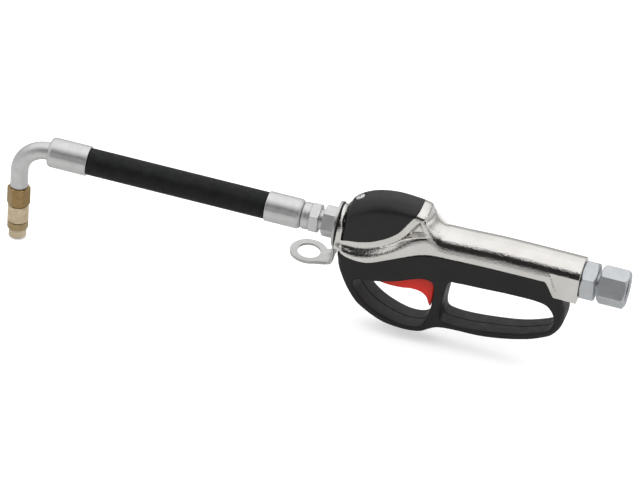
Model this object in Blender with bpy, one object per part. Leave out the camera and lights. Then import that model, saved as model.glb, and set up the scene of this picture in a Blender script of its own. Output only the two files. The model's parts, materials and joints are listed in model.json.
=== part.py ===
"""Hand-held oil control gun with a hose extension, a bent outlet tube and a non-drip tip.

The gun is modelled in its own axes: x runs along the outlet and inlet fittings towards the inlet, y across
the gun and z up, with zero where the outlet axis meets the casting's front face. One empty then carries every
piece, so that the whole object stands with the middle of its lowest point at the world origin.
"""

import math

import bmesh
import bpy
from mathutils import Matrix, Vector

MM = 0.001
GAP = 0.3 * MM
THIN_GAP = 0.15 * MM
TOUCH = 0.03 * MM
ROUND_STEPS = 24
SMALL_ROUND_STEPS = 14

# Casting: the length, the handle tube and the height of the inlet axis above the outlet axis
BODY_LENGTH = 193.4 * MM
HANDLE_RADIUS = 17.5 * MM
HANDLE_START = 84.0 * MM
COLLAR_END = 68.5 * MM
INLET_RISE = 4.6 * MM
PAD_START = 168.0 * MM
PAD_FULL = 175.0 * MM
RIB_HALF_WIDTH = 14.2 * MM
RIB_START = 8.0 * MM
RIB_END = 170.0 * MM
RIB_BOTTOM = -11.0 * MM
COVER_FRONT = 4.5 * MM
COVER_WALL = 2.6 * MM
CORE_INSET = 3.8 * MM
CORE_TOP = 24.5 * MM
OUTLET_BOSS_RADIUS = 12.0 * MM

# Valve, on a vertical axis in the head
VALVE_X = 43.0 * MM
CHAMBER_RADIUS = 8.5 * MM
STEM_RADIUS = 3.0 * MM
STEM_END = -16.0 * MM
SEAT_TOP = 4.5 * MM

# Trigger and guard
PIVOT = Vector((25.0 * MM, 0.0, -20.0 * MM))
TRIGGER_HALF_WIDTH = 8.6 * MM
SLOT_HALF_WIDTH = 9.3 * MM
PIN_RADIUS = 2.0 * MM
GUARD_WIDTH_AT_ORIGIN = 21.9 * MM
GUARD_DRAFT_Z = 0.083
GUARD_DRAFT_X = -0.034
GUARD_SCREW_X = (104.0 * MM, 152.0 * MM)

# Fittings on the outlet axis, from the casting's front face towards the tip
THREAD_RADIUS = 10.4 * MM
FITTING_HEX = 22.0 * MM
PLATE_THICKNESS = 2.0 * MM
PLATE_FACE = -1.1 * MM
ADAPTER_FACE = -3.2 * MM
ADAPTER_HEX_END = -13.7 * MM
HOSE_NUT_REAR = -16.4 * MM
HOSE_NUT_STEP = -24.0 * MM
HOSE_NUT_FRONT = -30.5 * MM
REAR_FERRULE = (-59.5 * MM, -30.8 * MM)
FRONT_FERRULE = (-236.5 * MM, -204.5 * MM)
FERRULE_RADIUS = 11.9 * MM
HOSE_RADIUS = 10.7 * MM
HOSE_CRIMPED_RADIUS = 8.4 * MM
HOSE_BORE = 6.4 * MM
TUBE_RADIUS = 7.0 * MM
TUBE_BORE = 5.2 * MM
BEND_RADIUS = 22.0 * MM
BEND_START = -237.0 * MM
BEND_ANGLE = math.radians(94.0)
LEG_LENGTH = 14.15 * MM
HEX_CLOCK = math.radians(37.0)

# Hook plate
RING_RADIUS = 18.0 * MM
TAB_HALF_WIDTH = 10.0 * MM
TAB_DROP = 32.5 * MM
EYELET_REACH = 21.5 * MM
EYELET_RADIUS = 15.0 * MM
EYELET_HOLE = 9.0 * MM
HOOK_CLOCK = math.radians(5.0)

# Non-drip tip, measured along its own axis from the top of its hexagon
TIP_HEX = 16.0 * MM
TIP_HEX_LENGTH = 16.0 * MM
TIP_CLOCK = math.radians(-11.0)
SLEEVE_END = 30.5 * MM
TIP_END = 45.0 * MM

# Inlet fittings
INLET_HEX = 29.0 * MM
INLET_HEX_END = 205.1 * MM
SWIVEL_HEX = 27.0 * MM
SWIVEL = (207.5 * MM, 229.4 * MM)


def in_metres(*pairs):
    return [(x * MM, z * MM) for x, z in pairs]


# Height and width of the casting and cover together, as (x, value) along the gun
BODY_TOP = in_metres((0, 17.5), (4.5, 23), (10, 28), (16, 31.5), (22, 34.2), (31, 36.5), (42, 37.6),
                     (53, 37), (62, 36), (68.5, 33.8), (73, 27.5), (78, 23), (84, 21), (130, 22.4), (193.4, 22.1))
BODY_HALF_WIDTH = in_metres((0, 18.4), (3, 19.6), (8, 20.8), (16, 21.8), (28, 22), (45, 21.2), (60, 19.2), (72, 17.9),
                            (84, 17.5), (168, 17.5), (173, 16), (193.4, 16))
CREASE_DROP = in_metres((0, 6.5), (5, 9), (16, 8), (35, 6.4), (61, 4.6))
CREASE_Y = in_metres((0, 10.5), (6, 14), (16, 15), (35, 14.5), (61, 13.5))
BODY_WIDEST = in_metres((0, 0), (20, 2.5), (45, 4), (84, 3.4), (130, 5.2), (160, 5.2), (168, 5.2), (175, 11.5),
                        (193.4, 11.5))
BODY_LEDGE = in_metres((0, -12), (5, -12.4), (11.5, -14.6), (23, -15.6), (31, -14.2), (46, -7.6), (61, -1.6),
                       (76, 2.4), (110, 4.4), (140, 4.7), (164, 4.7), (168, 4), (175, -7.8), (177, -8.2),
                       (193.4, -9))
COVER_EDGE = in_metres((4.5, -2.4), (13, 0.4), (21, 2.4), (29, 4.8), (36, 8.4), (44, 13.4), (50, 19.4),
                       (57, 27.9), (61.5, 34), (63, 42))

# Guard: its outer edge and its two finger openings, as (x, z) points that a smooth curve passes through
GUARD_OUTER = in_metres((4.2, -12.7), (5.5, -25.6), (11, -39.1), (18, -50.1), (27, -59.1), (44, -68.6), (61, -71.6),
                        (75, -70.4), (83, -65.8), (89, -62.8), (100, -61.6), (124, -61.4), (148, -57.6),
                        (171, -50.6), (179, -45.6), (184.5, -35.6), (185.5, -23.6), (183, -9.6))
FRONT_OPENING = in_metres((30, -33.6), (42, -31.2), (55, -27.1), (69, -21.2), (77, -20.4), (81.8, -24.5), (82.3, -40),
                          (80, -56), (75, -65.2), (62, -67.3), (46, -63.3), (33, -56.5), (24, -47.6), (18.9, -39.2),
                          (22, -34.6))
REAR_OPENING = in_metres((93, -19), (100, -16.8), (118, -16.4), (142, -15.9), (165, -16.9), (174, -21.5), (178.2, -31),
                         (176, -40), (169, -45), (149, -51.8), (117, -56.6), (97, -56.9), (90, -53), (90, -38))
TRIGGER_TOP = in_metres((19, -19.5), (21, -15.2), (26, -14.1), (50, -17.5), (72, -20.2), (80, -21.6), (81.3, -24))
TRIGGER_LOWER = in_metres((81.3, -40), (80.4, -47.6), (78.5, -46.2), (76, -41), (71, -37.6), (64, -36.8), (56, -38),
                          (46, -38.4), (37, -37), (29, -32), (22, -26), (19.2, -22))


def curve(points, x):
    """Value at x of the smooth curve through (x, value) points, flat beyond its ends."""
    if x <= points[0][0]:
        return points[0][1]
    if x >= points[-1][0]:
        return points[-1][1]
    i = next(k for k in range(len(points) - 1) if x <= points[k + 1][0])
    before = points[max(i - 1, 0)]
    after = points[min(i + 2, len(points) - 1)]
    (x0, v0), (x1, v1) = points[i], points[i + 1]
    span = x1 - x0
    slope0 = (v1 - before[1]) / (x1 - before[0])
    slope1 = (after[1] - v0) / (after[0] - x0)
    t = (x - x0) / span
    rise = v1 - v0
    a = (slope0 + slope1) * span - 2.0 * rise
    b = 3.0 * rise - (2.0 * slope0 + slope1) * span
    return v0 + t * (slope0 * span + t * (b + t * a))


def smooth_loop(points, steps, closed=True):
    """Points along a smooth curve through the given corner points."""
    count = len(points)
    spans = count if closed else count - 1
    loop = []
    for i in range(spans):
        if closed:
            near = [points[(i + k) % count] for k in (-1, 0, 1, 2)]
        else:
            near = [points[min(max(i + k, 0), count - 1)] for k in (-1, 0, 1, 2)]
        p0, p1, p2, p3 = (Vector(p) for p in near)
        for step in range(steps):
            t = step / steps
            loop.append(0.5 * (2.0 * p1 + t * (p2 - p0) + t * t * (2.0 * p0 - 5.0 * p1 + 4.0 * p2 - p3)
                               + t ** 3 * (3.0 * p1 - p0 - 3.0 * p2 + p3)))
    if not closed:
        loop.append(Vector(points[-1]))
    return [(p.x, p.y) for p in loop]


def ease(value, start, end):
    t = min(max((value - start) / (end - start), 0.0), 1.0)
    return t * t * (3.0 - 2.0 * t)


# ---------------------------------------------------------------- scene, materials and placing


def clear_scene():
    for obj in list(bpy.data.objects):
        bpy.data.objects.remove(obj, do_unlink=True)


def principled(name, color, roughness, metallic):
    material = bpy.data.materials.new(name)
    material.use_nodes = True
    shader = material.node_tree.nodes["Principled BSDF"]
    shader.inputs["Base Color"].default_value = (*color, 1.0)
    shader.inputs["Roughness"].default_value = roughness
    shader.inputs["Metallic"].default_value = metallic
    material.diffuse_color = (*color, 1.0)
    return material


def make_materials():
    return {
        "nickel": principled("nickel", (0.80, 0.78, 0.76), 0.15, 1.0),
        "zinc": principled("zinc", (0.66, 0.67, 0.69), 0.32, 1.0),
        "steel": principled("steel", (0.55, 0.56, 0.57), 0.35, 1.0),
        "brass": principled("brass", (0.72, 0.56, 0.28), 0.28, 1.0),
        "black_plastic": principled("black_plastic", (0.030, 0.030, 0.029), 0.42, 0.0),
        "red_plastic": principled("red_plastic", (0.62, 0.03, 0.025), 0.38, 0.0),
        "hose_rubber": principled("hose_rubber", (0.014, 0.016, 0.015), 0.55, 0.0),
        "seal_rubber": principled("seal_rubber", (0.02, 0.02, 0.02), 0.6, 0.0),
    }


def object_from(bm, name):
    bmesh.ops.recalc_face_normals(bm, faces=bm.faces)
    mesh = bpy.data.meshes.new(name)
    bm.to_mesh(mesh)
    bm.free()
    obj = bpy.data.objects.new(name, mesh)
    bpy.context.scene.collection.objects.link(obj)
    return obj


def tidy_faces(obj):
    """Welds points closer than a tenth of a micron and leaves only triangles, which stay flat when they are cut."""
    bm = bmesh.new()
    bm.from_mesh(obj.data)
    bmesh.ops.remove_doubles(bm, verts=bm.verts, dist=0.0002 * MM)
    bmesh.ops.dissolve_degenerate(bm, edges=bm.edges, dist=0.0002 * MM)
    bmesh.ops.triangulate(bm, faces=bm.faces)
    bm.to_mesh(obj.data)
    bm.free()


def combine(target, cutter, operation="DIFFERENCE"):
    """Cuts, joins or trims the target with the cutter, which is used up."""
    tidy_faces(target)
    tidy_faces(cutter)
    modifier = target.modifiers.new(operation.lower(), "BOOLEAN")
    modifier.operation = operation
    modifier.object = cutter
    bpy.context.view_layer.update()
    graph = bpy.context.evaluated_depsgraph_get()
    result = bpy.data.meshes.new_from_object(target.evaluated_get(graph))
    target.modifiers.clear()
    spent = target.data
    target.data = result
    bpy.data.meshes.remove(spent)
    bpy.data.objects.remove(cutter, do_unlink=True)
    tidy_faces(target)
    return target


def finish_piece(obj, name, material, frame, sharp_degrees=35.0):
    obj.name = name
    obj.data.name = name
    obj.data.materials.clear()
    obj.data.materials.append(material)
    obj.data.shade_smooth()
    obj.data.set_sharp_from_angle(angle=math.radians(sharp_degrees))
    obj.parent = frame
    return obj


def move_origin(obj, point):
    """Puts the object's origin on a joint's axis without moving its shape."""
    obj.data.transform(Matrix.Translation(-point))
    obj.location = point
    return obj


# ---------------------------------------------------------------- shapes


def turned(profile, steps=ROUND_STEPS, name="turned"):
    """Round solid about z from (height, radius) points. A profile that starts and ends on the axis is solid,
    and any other profile is a closed loop around a bore."""
    solid = profile[0][1] == 0.0
    bm = bmesh.new()
    rings = []
    for height, radius in profile:
        if radius == 0.0:
            rings.append([bm.verts.new((0.0, 0.0, height))] * steps)
            continue
        angles = [2.0 * math.pi * k / steps for k in range(steps)]
        rings.append([bm.verts.new((radius * math.cos(a), radius * math.sin(a), height)) for a in angles])
    pairs = list(zip(rings, rings[1:]))
    if not solid:
        pairs.append((rings[-1], rings[0]))
    for lower, upper in pairs:
        for k in range(steps):
            n = (k + 1) % steps
            corners = []
            for vert in (lower[k], lower[n], upper[n], upper[k]):
                if vert not in corners:
                    corners.append(vert)
            bm.faces.new(corners)
    return object_from(bm, name)


def rod(start, end, radius, steps=ROUND_STEPS):
    return turned([(start, 0.0), (start, radius), (end, radius), (end, 0.0)], steps)


def tube(start, end, outer, inner, steps=ROUND_STEPS):
    return turned([(start, inner), (start, outer), (end, outer), (end, inner)], steps)


def hexagon(start, end, across_flats, chamfer, clock=0.0):
    """Hexagonal bar about z with its corners turned down at both ends, one of them at the clock angle."""
    corner = across_flats / math.sqrt(3.0)
    bar = turned([(start, 0.0), (start, corner), (end, corner), (end, 0.0)], steps=6)
    face = 0.5 * across_flats * 0.97
    rise = chamfer * (corner - face) / (corner - 0.5 * across_flats)
    cone = turned([(start, 0.0), (start, face), (start + rise, corner + 0.2 * MM),
                   (end - rise, corner + 0.2 * MM), (end, face), (end, 0.0)])
    combine(bar, cone, "INTERSECT")
    bar.data.transform(Matrix.Rotation(clock, 4, "Z"))
    return bar


def extruded(outline, low, high, name="extruded"):
    """Prism across y from an outline of (x, z) points."""
    bm = bmesh.new()
    sides = [[bm.verts.new((x, y, z)) for x, z in outline] for y in (low, high)]
    bm.faces.new(sides[0])
    bm.faces.new(reversed(sides[1]))
    count = len(outline)
    for k in range(count):
        n = (k + 1) % count
        bm.faces.new((sides[0][k], sides[0][n], sides[1][n], sides[1][k]))
    return object_from(bm, name)


def box(low, high):
    corners = [(low[0], low[2]), (high[0], low[2]), (high[0], high[2]), (low[0], high[2])]
    return extruded(corners, low[1], high[1], "box")


def lofted(rings, name="lofted"):
    """Closed solid through rings with the same number of points, with flat ends."""
    bm = bmesh.new()
    verts = [[bm.verts.new(p) for p in ring] for ring in rings]
    count = len(verts[0])
    for near, far in zip(verts, verts[1:]):
        for k in range(count):
            n = (k + 1) % count
            bm.faces.new((near[k], near[n], far[n], far[k]))
    bm.faces.new(verts[0])
    bm.faces.new(verts[-1])
    return object_from(bm, name)


def swept_ring(centre, across, up, radius, steps):
    angles = [2.0 * math.pi * k / steps for k in range(steps)]
    return [centre + radius * (math.cos(a) * across + math.sin(a) * up) for a in angles]


def coil(start, end, coil_radius, wire_radius, turns, steps_per_turn=10, wire_steps=5):
    """Compression spring about z."""
    count = int(turns * steps_per_turn)
    low = start + wire_radius
    pitch = (end - start - 2.0 * wire_radius) / count
    rings = []
    for k in range(count + 1):
        angle = 2.0 * math.pi * k / steps_per_turn
        outward = Vector((math.cos(angle), math.sin(angle), 0.0))
        centre = coil_radius * outward + Vector((0.0, 0.0, low + pitch * k))
        rings.append(swept_ring(centre, outward, Vector((0.0, 0.0, 1.0)), wire_radius, wire_steps))
    return lofted(rings, "coil")


def torus(height, ring_radius, wire_radius, steps=18, wire_steps=6):
    angles = [2.0 * math.pi * k / wire_steps for k in range(wire_steps)]
    loop = [(height + wire_radius * math.sin(a), ring_radius + wire_radius * math.cos(a)) for a in angles]
    return turned(loop, steps)


# ---------------------------------------------------------------- axes that the fittings share


def along_x(obj, height):
    """Lays a piece made about z onto a fitting axis, with its heights as x positions."""
    obj.rotation_euler = (0.0, math.radians(90.0), 0.0)
    obj.location = (0.0, 0.0, height)
    return obj


def on_outlet(obj):
    return along_x(obj, 0.0)


def on_inlet(obj):
    return along_x(obj, INLET_RISE)


def on_valve(obj):
    obj.location = (VALVE_X, 0.0, 0.0)
    return obj


def leg_direction():
    return Vector((-math.cos(BEND_ANGLE), 0.0, -math.sin(BEND_ANGLE)))


def tip_origin():
    bend_centre = Vector((BEND_START, 0.0, -BEND_RADIUS))
    outward = Vector((-math.sin(BEND_ANGLE), 0.0, math.cos(BEND_ANGLE)))
    return bend_centre + BEND_RADIUS * outward + LEG_LENGTH * leg_direction()


def on_tip(obj):
    turn = Vector((0.0, 0.0, 1.0)).rotation_difference(leg_direction())
    obj.rotation_euler = turn.to_euler()
    obj.location = tip_origin()
    return obj


def sloped_bore(start, end, radius):
    """Round cutter between two points in the plane y = 0."""
    run = end - start
    cutter = rod(0.0, run.length, radius, SMALL_ROUND_STEPS)
    cutter.rotation_euler = Vector((0.0, 0.0, 1.0)).rotation_difference(run).to_euler()
    cutter.location = start
    return cutter


# ---------------------------------------------------------------- casting and cover


def ledge_height(x):
    """Height of the lower edge of the casting's sides, where the guard begins."""
    return min(curve(BODY_LEDGE, x), curve(BODY_WIDEST, x) - 0.4 * MM)


def half_section(x, inset):
    """Half outline of the casting with its cover on at x, from the top middle down to the ledge, as (y, z)."""
    top = curve(BODY_TOP, x) - inset
    half = curve(BODY_HALF_WIDTH, x) - inset
    widest = curve(BODY_WIDEST, x)
    ledge = ledge_height(x)
    crease_y = min(curve(CREASE_Y, x) - 0.7 * inset, 0.8 * half)
    crease_z = top - curve(CREASE_DROP, x)
    side_steps = 5
    crown_steps = 3
    head = 1.0 - ease(x, COLLAR_END, HANDLE_START)
    points = []
    for k in range(crown_steps + side_steps + 1):
        share = k / (crown_steps + side_steps)
        angle = 0.5 * math.pi * share
        round_point = Vector((half * math.sin(angle), widest + (top - widest) * math.cos(angle)))
        if k < crown_steps:
            y = crease_y * k / crown_steps
            head_point = Vector((y, top - (top - crease_z) * (y / crease_y) ** 2.2))
        else:
            t = (k - crown_steps) / side_steps
            shoulder = crease_z - 0.42 * (crease_z - widest)
            y = (1 - t) ** 2 * crease_y + 2 * t * (1 - t) * half + t * t * half
            z = (1 - t) ** 2 * crease_z + 2 * t * (1 - t) * shoulder + t * t * widest
            head_point = Vector((y, z))
        points.append(head * head_point + (1.0 - head) * round_point)
    lower_y = half - (1.2 * MM) * ease(widest - ledge, 0.0, 12.0 * MM)
    points.append(Vector((0.5 * (half + lower_y), 0.5 * (widest + ledge))))
    points.append(Vector((lower_y, ledge - TOUCH)))
    return points


def full_ring(x, inset):
    half = half_section(x, inset)
    near = [Vector((x, p.x, p.y)) for p in half]
    far = [Vector((x, -p.x, p.y)) for p in reversed(half[1:])]
    return near + far


def spread(start, end, count):
    return [start + (end - start) * k / count for k in range(count + 1)]


def body_stations():
    """Places of the casting's sections, closer together where its shape changes."""
    head = spread(0.0, HANDLE_START, 27)
    handle = spread(HANDLE_START, PAD_START, 6)
    pad = spread(PAD_START, PAD_FULL, 4)
    return head + handle[1:] + pad[1:] + [BODY_LENGTH]


def envelope(xs, inset=0.0):
    return lofted([full_ring(x, inset) for x in xs], "envelope")


def cover_zone(clearance):
    """Prism that holds everything above the cover's lower edge."""
    edge = smooth_loop(COVER_EDGE, 2, closed=False)
    lowered = [(x - clearance, z + clearance) for x, z in edge]
    top = 50.0 * MM
    outline = lowered + [(lowered[-1][0], top), (COVER_FRONT + clearance, top)]
    outline[0] = (COVER_FRONT + clearance, lowered[0][1])
    return extruded(outline, -30.0 * MM, 30.0 * MM)


def rib():
    """Rib below the handle that carries the guard and the valve gland."""
    return box((RIB_START, -RIB_HALF_WIDTH, RIB_BOTTOM), (RIB_END, RIB_HALF_WIDTH, INLET_RISE + 4.0 * MM))


def core():
    """Solid part of the head under the cover, around the valve chamber."""
    block = envelope(spread(RIB_START + 1.0 * MM, 59.0 * MM, 10), CORE_INSET)
    keep = box((RIB_START, -30.0 * MM, -4.0 * MM), (58.5 * MM, 30.0 * MM, CORE_TOP))
    return combine(block, keep, "INTERSECT")


def screw_direction():
    return Vector((-math.sin(math.radians(28.0)), 0.0, math.cos(math.radians(28.0))))


def cover_screw_seat():
    """Middle of the face that the cover screw's head rests on."""
    return Vector((13.6 * MM, 0.0, 25.9 * MM))


def on_cover_screw(obj):
    obj.rotation_euler = Vector((0.0, 0.0, 1.0)).rotation_difference(screw_direction()).to_euler()
    obj.location = cover_screw_seat()
    return obj


def cut_passages(casting):
    combine(casting, on_valve(rod(0.7 * MM, 45.0 * MM, CHAMBER_RADIUS)))
    combine(casting, on_valve(rod(-4.7 * MM, 1.5 * MM, 6.5 * MM)))
    combine(casting, on_valve(rod(-20.0 * MM, -3.0 * MM, 6.3 * MM)))
    inlet_end = Vector((VALVE_X + 5.0 * MM, 0.0, 10.0 * MM))
    combine(casting, sloped_bore(Vector((180.0 * MM, 0.0, INLET_RISE)), inlet_end, 4.5 * MM))
    outlet_end = Vector((VALVE_X - 4.0 * MM, 0.0, -2.2 * MM))
    combine(casting, sloped_bore(Vector((11.0 * MM, 0.0, 0.0)), outlet_end, 3.2 * MM))
    combine(casting, on_outlet(rod(-2.0 * MM, 13.0 * MM, THREAD_RADIUS + GAP)))
    combine(casting, on_inlet(rod(177.5 * MM, BODY_LENGTH + 2.0 * MM, THREAD_RADIUS + GAP)))


def build_casting():
    casting = envelope(body_stations())
    combine(casting, cover_zone(0.0))
    combine(casting, rib(), "UNION")
    combine(casting, core(), "UNION")
    combine(casting, on_outlet(rod(2.0 * MM, 16.0 * MM, OUTLET_BOSS_RADIUS)), "UNION")
    cut_passages(casting)
    slot = box((14.0 * MM, -SLOT_HALF_WIDTH, -30.0 * MM), (84.5 * MM, SLOT_HALF_WIDTH, RIB_BOTTOM - GAP))
    combine(casting, slot)
    combine(casting, on_cover_screw(rod(-0.9 * MM, 20.0 * MM, 6.7 * MM, SMALL_ROUND_STEPS)))
    combine(casting, on_cover_screw(rod(-14.0 * MM, 5.0 * MM, 2.2 * MM, SMALL_ROUND_STEPS)))
    for x in GUARD_SCREW_X:
        hole = rod(-20.0 * MM, -2.0 * MM, 2.2 * MM, SMALL_ROUND_STEPS)
        hole.location = (x, 0.0, 0.0)
        combine(casting, hole)
    return casting


def build_top_cover():
    cover = envelope(spread(COVER_FRONT, 66.0 * MM, 16))
    combine(cover, cover_zone(GAP), "INTERSECT")
    cavity = envelope(spread(COVER_FRONT + COVER_WALL, 62.0 * MM, 12), COVER_WALL)
    combine(cover, cavity)
    combine(cover, on_outlet(rod(0.0, 12.0 * MM, OUTLET_BOSS_RADIUS + GAP)))
    combine(cover, on_cover_screw(rod(-0.6 * MM, 2.0 * MM, 6.2 * MM, SMALL_ROUND_STEPS)), "UNION")
    combine(cover, on_cover_screw(rod(1.4 * MM, 20.0 * MM, 5.1 * MM, SMALL_ROUND_STEPS)))
    combine(cover, on_cover_screw(rod(-4.0 * MM, 10.0 * MM, 2.4 * MM, SMALL_ROUND_STEPS)))
    return cover


def build_cover_screw():
    screw = turned([(-12.0 * MM, 0.0), (-12.0 * MM, 1.9 * MM), (1.7 * MM, 1.9 * MM), (1.7 * MM, 4.2 * MM),
                    (3.4 * MM, 3.9 * MM), (4.2 * MM, 2.6 * MM), (4.4 * MM, 0.0)], SMALL_ROUND_STEPS)
    for turn in (0.0, 90.0):
        slot = box((-2.3 * MM, -0.45 * MM, 3.0 * MM), (2.3 * MM, 0.45 * MM, 6.0 * MM))
        slot.rotation_euler = (0.0, 0.0, math.radians(turn))
        combine(screw, slot)
    return on_cover_screw(screw)


# ---------------------------------------------------------------- guard and trigger


def guard_half_width(x, z):
    return GUARD_WIDTH_AT_ORIGIN + GUARD_DRAFT_X * x + GUARD_DRAFT_Z * z


def drafted(outline, extra=0.0):
    """Prism across y whose flat sides lean in towards the guard's lower rim and rear end."""
    solid = extruded(outline, -1.0, 1.0)
    for vertex in solid.data.vertices:
        half = guard_half_width(vertex.co.x, vertex.co.z) + extra
        vertex.co.y = math.copysign(half, vertex.co.y)
    return solid


def guard_outline():
    outer = smooth_loop(GUARD_OUTER, 2, closed=False)
    start, end = GUARD_OUTER[0][0], GUARD_OUTER[-1][0]
    xs = [x for x in reversed(body_stations()) if start < x < end]
    top = [(x, ledge_height(x) - GAP) for x in xs]
    return outer + top


def build_guard():
    guard = drafted(guard_outline())
    for opening in (FRONT_OPENING, REAR_OPENING):
        combine(guard, drafted(smooth_loop(opening, 2), extra=4.0 * MM))
    channel = box((RIB_START - GAP, -RIB_HALF_WIDTH - GAP, RIB_BOTTOM - GAP),
                  (RIB_END + GAP, RIB_HALF_WIDTH + GAP, 40.0 * MM))
    combine(guard, channel)
    slot = box((15.0 * MM, -SLOT_HALF_WIDTH, -35.0 * MM), (84.5 * MM, SLOT_HALF_WIDTH, 0.0))
    combine(guard, slot)
    pocket = box((78.0 * MM, -SLOT_HALF_WIDTH, -50.0 * MM), (84.5 * MM, SLOT_HALF_WIDTH, -30.0 * MM))
    combine(guard, pocket)
    combine(guard, across(rod(-13.0 * MM, 13.0 * MM, PIN_RADIUS + THIN_GAP, SMALL_ROUND_STEPS), PIVOT))
    for x in GUARD_SCREW_X:
        hole = turned([(-30.0 * MM, 0.0), (-30.0 * MM, 4.2 * MM), (-14.4 * MM, 4.2 * MM), (-14.4 * MM, 2.2 * MM),
                       (-5.0 * MM, 2.2 * MM), (-5.0 * MM, 0.0)], SMALL_ROUND_STEPS)
        hole.location = (x, 0.0, 0.0)
        combine(guard, hole)
    return guard


def build_guard_screw(x):
    screw = turned([(-17.0 * MM, 0.0), (-17.0 * MM, 3.4 * MM), (-16.2 * MM, 3.9 * MM), (-14.6 * MM, 3.9 * MM),
                    (-14.6 * MM, 1.9 * MM), (-3.0 * MM, 1.9 * MM), (-3.0 * MM, 0.0)], SMALL_ROUND_STEPS)
    screw.location = (x, 0.0, 0.0)
    return screw


def across(obj, point):
    """Lays a piece made about z across the gun, through a point."""
    obj.rotation_euler = (math.radians(90.0), 0.0, 0.0)
    obj.location = point
    return obj


def build_trigger():
    outline = smooth_loop(TRIGGER_TOP, 3, closed=False) + smooth_loop(TRIGGER_LOWER, 3, closed=False)
    trigger = extruded(outline, -TRIGGER_HALF_WIDTH, TRIGGER_HALF_WIDTH)
    combine(trigger, across(rod(-20.0 * MM, 20.0 * MM, PIN_RADIUS + THIN_GAP, SMALL_ROUND_STEPS), PIVOT))
    return move_origin(trigger, PIVOT)


def build_trigger_pin():
    return across(rod(-12.6 * MM, 12.6 * MM, PIN_RADIUS, SMALL_ROUND_STEPS), PIVOT)


# ---------------------------------------------------------------- valve


def build_valve_stem():
    profile = [(STEM_END, 0.0), (STEM_END, 1.2 * MM), (STEM_END + 1.8 * MM, STEM_RADIUS), (-1.5 * MM, STEM_RADIUS),
               (-0.5 * MM, 2.0 * MM), (SEAT_TOP, 2.0 * MM), (SEAT_TOP + 1.0 * MM, 4.6 * MM),
               (SEAT_TOP + 1.0 * MM, 6.9 * MM), (SEAT_TOP + 3.4 * MM, 6.9 * MM), (SEAT_TOP + 3.4 * MM, 3.2 * MM),
               (SEAT_TOP + 7.5 * MM, 3.0 * MM), (SEAT_TOP + 8.0 * MM, 2.4 * MM), (SEAT_TOP + 8.0 * MM, 0.0)]
    return on_valve(turned(profile, SMALL_ROUND_STEPS))


def build_poppet_seal():
    return on_valve(tube(SEAT_TOP + 0.2 * MM, SEAT_TOP + 0.85 * MM, 6.7 * MM, 4.9 * MM, SMALL_ROUND_STEPS))


def build_valve_seat():
    return on_valve(tube(1.0 * MM, SEAT_TOP, CHAMBER_RADIUS - GAP, 4.5 * MM, SMALL_ROUND_STEPS))


def build_valve_spring():
    return on_valve(coil(SEAT_TOP + 3.7 * MM, 18.9 * MM, 5.0 * MM, 0.6 * MM, 5))


def build_valve_cap():
    cap = hexagon(CORE_TOP + GAP, CORE_TOP + 5.5 * MM, 18.0 * MM, 0.8 * MM)
    plug_radius = CHAMBER_RADIUS - GAP
    groove = 7.6 * MM
    plug = turned([(19.2 * MM, 0.0), (19.2 * MM, plug_radius), (20.9 * MM, plug_radius), (20.9 * MM, groove),
                   (22.5 * MM, groove), (22.5 * MM, plug_radius), (CORE_TOP + 2.0 * MM, plug_radius),
                   (CORE_TOP + 2.0 * MM, 0.0)], ROUND_STEPS)
    return on_valve(combine(cap, plug, "UNION"))


def build_cap_oring():
    return on_valve(torus(21.7 * MM, 8.1 * MM, 0.35 * MM))


def build_stem_gland():
    groove = 4.6 * MM
    bore = STEM_RADIUS + THIN_GAP
    return on_valve(turned([(RIB_BOTTOM, bore), (RIB_BOTTOM, 6.0 * MM), (-5.0 * MM, 6.0 * MM), (-5.0 * MM, bore),
                            (-7.0 * MM, bore), (-7.0 * MM, groove), (-8.6 * MM, groove), (-8.6 * MM, bore)]))


def build_stem_oring():
    return on_valve(torus(-7.8 * MM, 3.9 * MM, 0.55 * MM))


# ---------------------------------------------------------------- outlet fittings, hose and elbow


def build_outlet_adapter():
    adapter = hexagon(ADAPTER_HEX_END, ADAPTER_FACE, FITTING_HEX, 0.8 * MM, HEX_CLOCK)
    combine(adapter, rod(-27.0 * MM, -10.0 * MM, 8.2 * MM), "UNION")
    combine(adapter, rod(-5.0 * MM, 12.5 * MM, THREAD_RADIUS), "UNION")
    combine(adapter, rod(-30.0 * MM, 20.0 * MM, 5.0 * MM, SMALL_ROUND_STEPS))
    return on_outlet(adapter)


def build_plate_gasket():
    return on_outlet(tube(-0.9 * MM, -0.2 * MM, RING_RADIUS - 0.4 * MM, THREAD_RADIUS + GAP))


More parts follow.
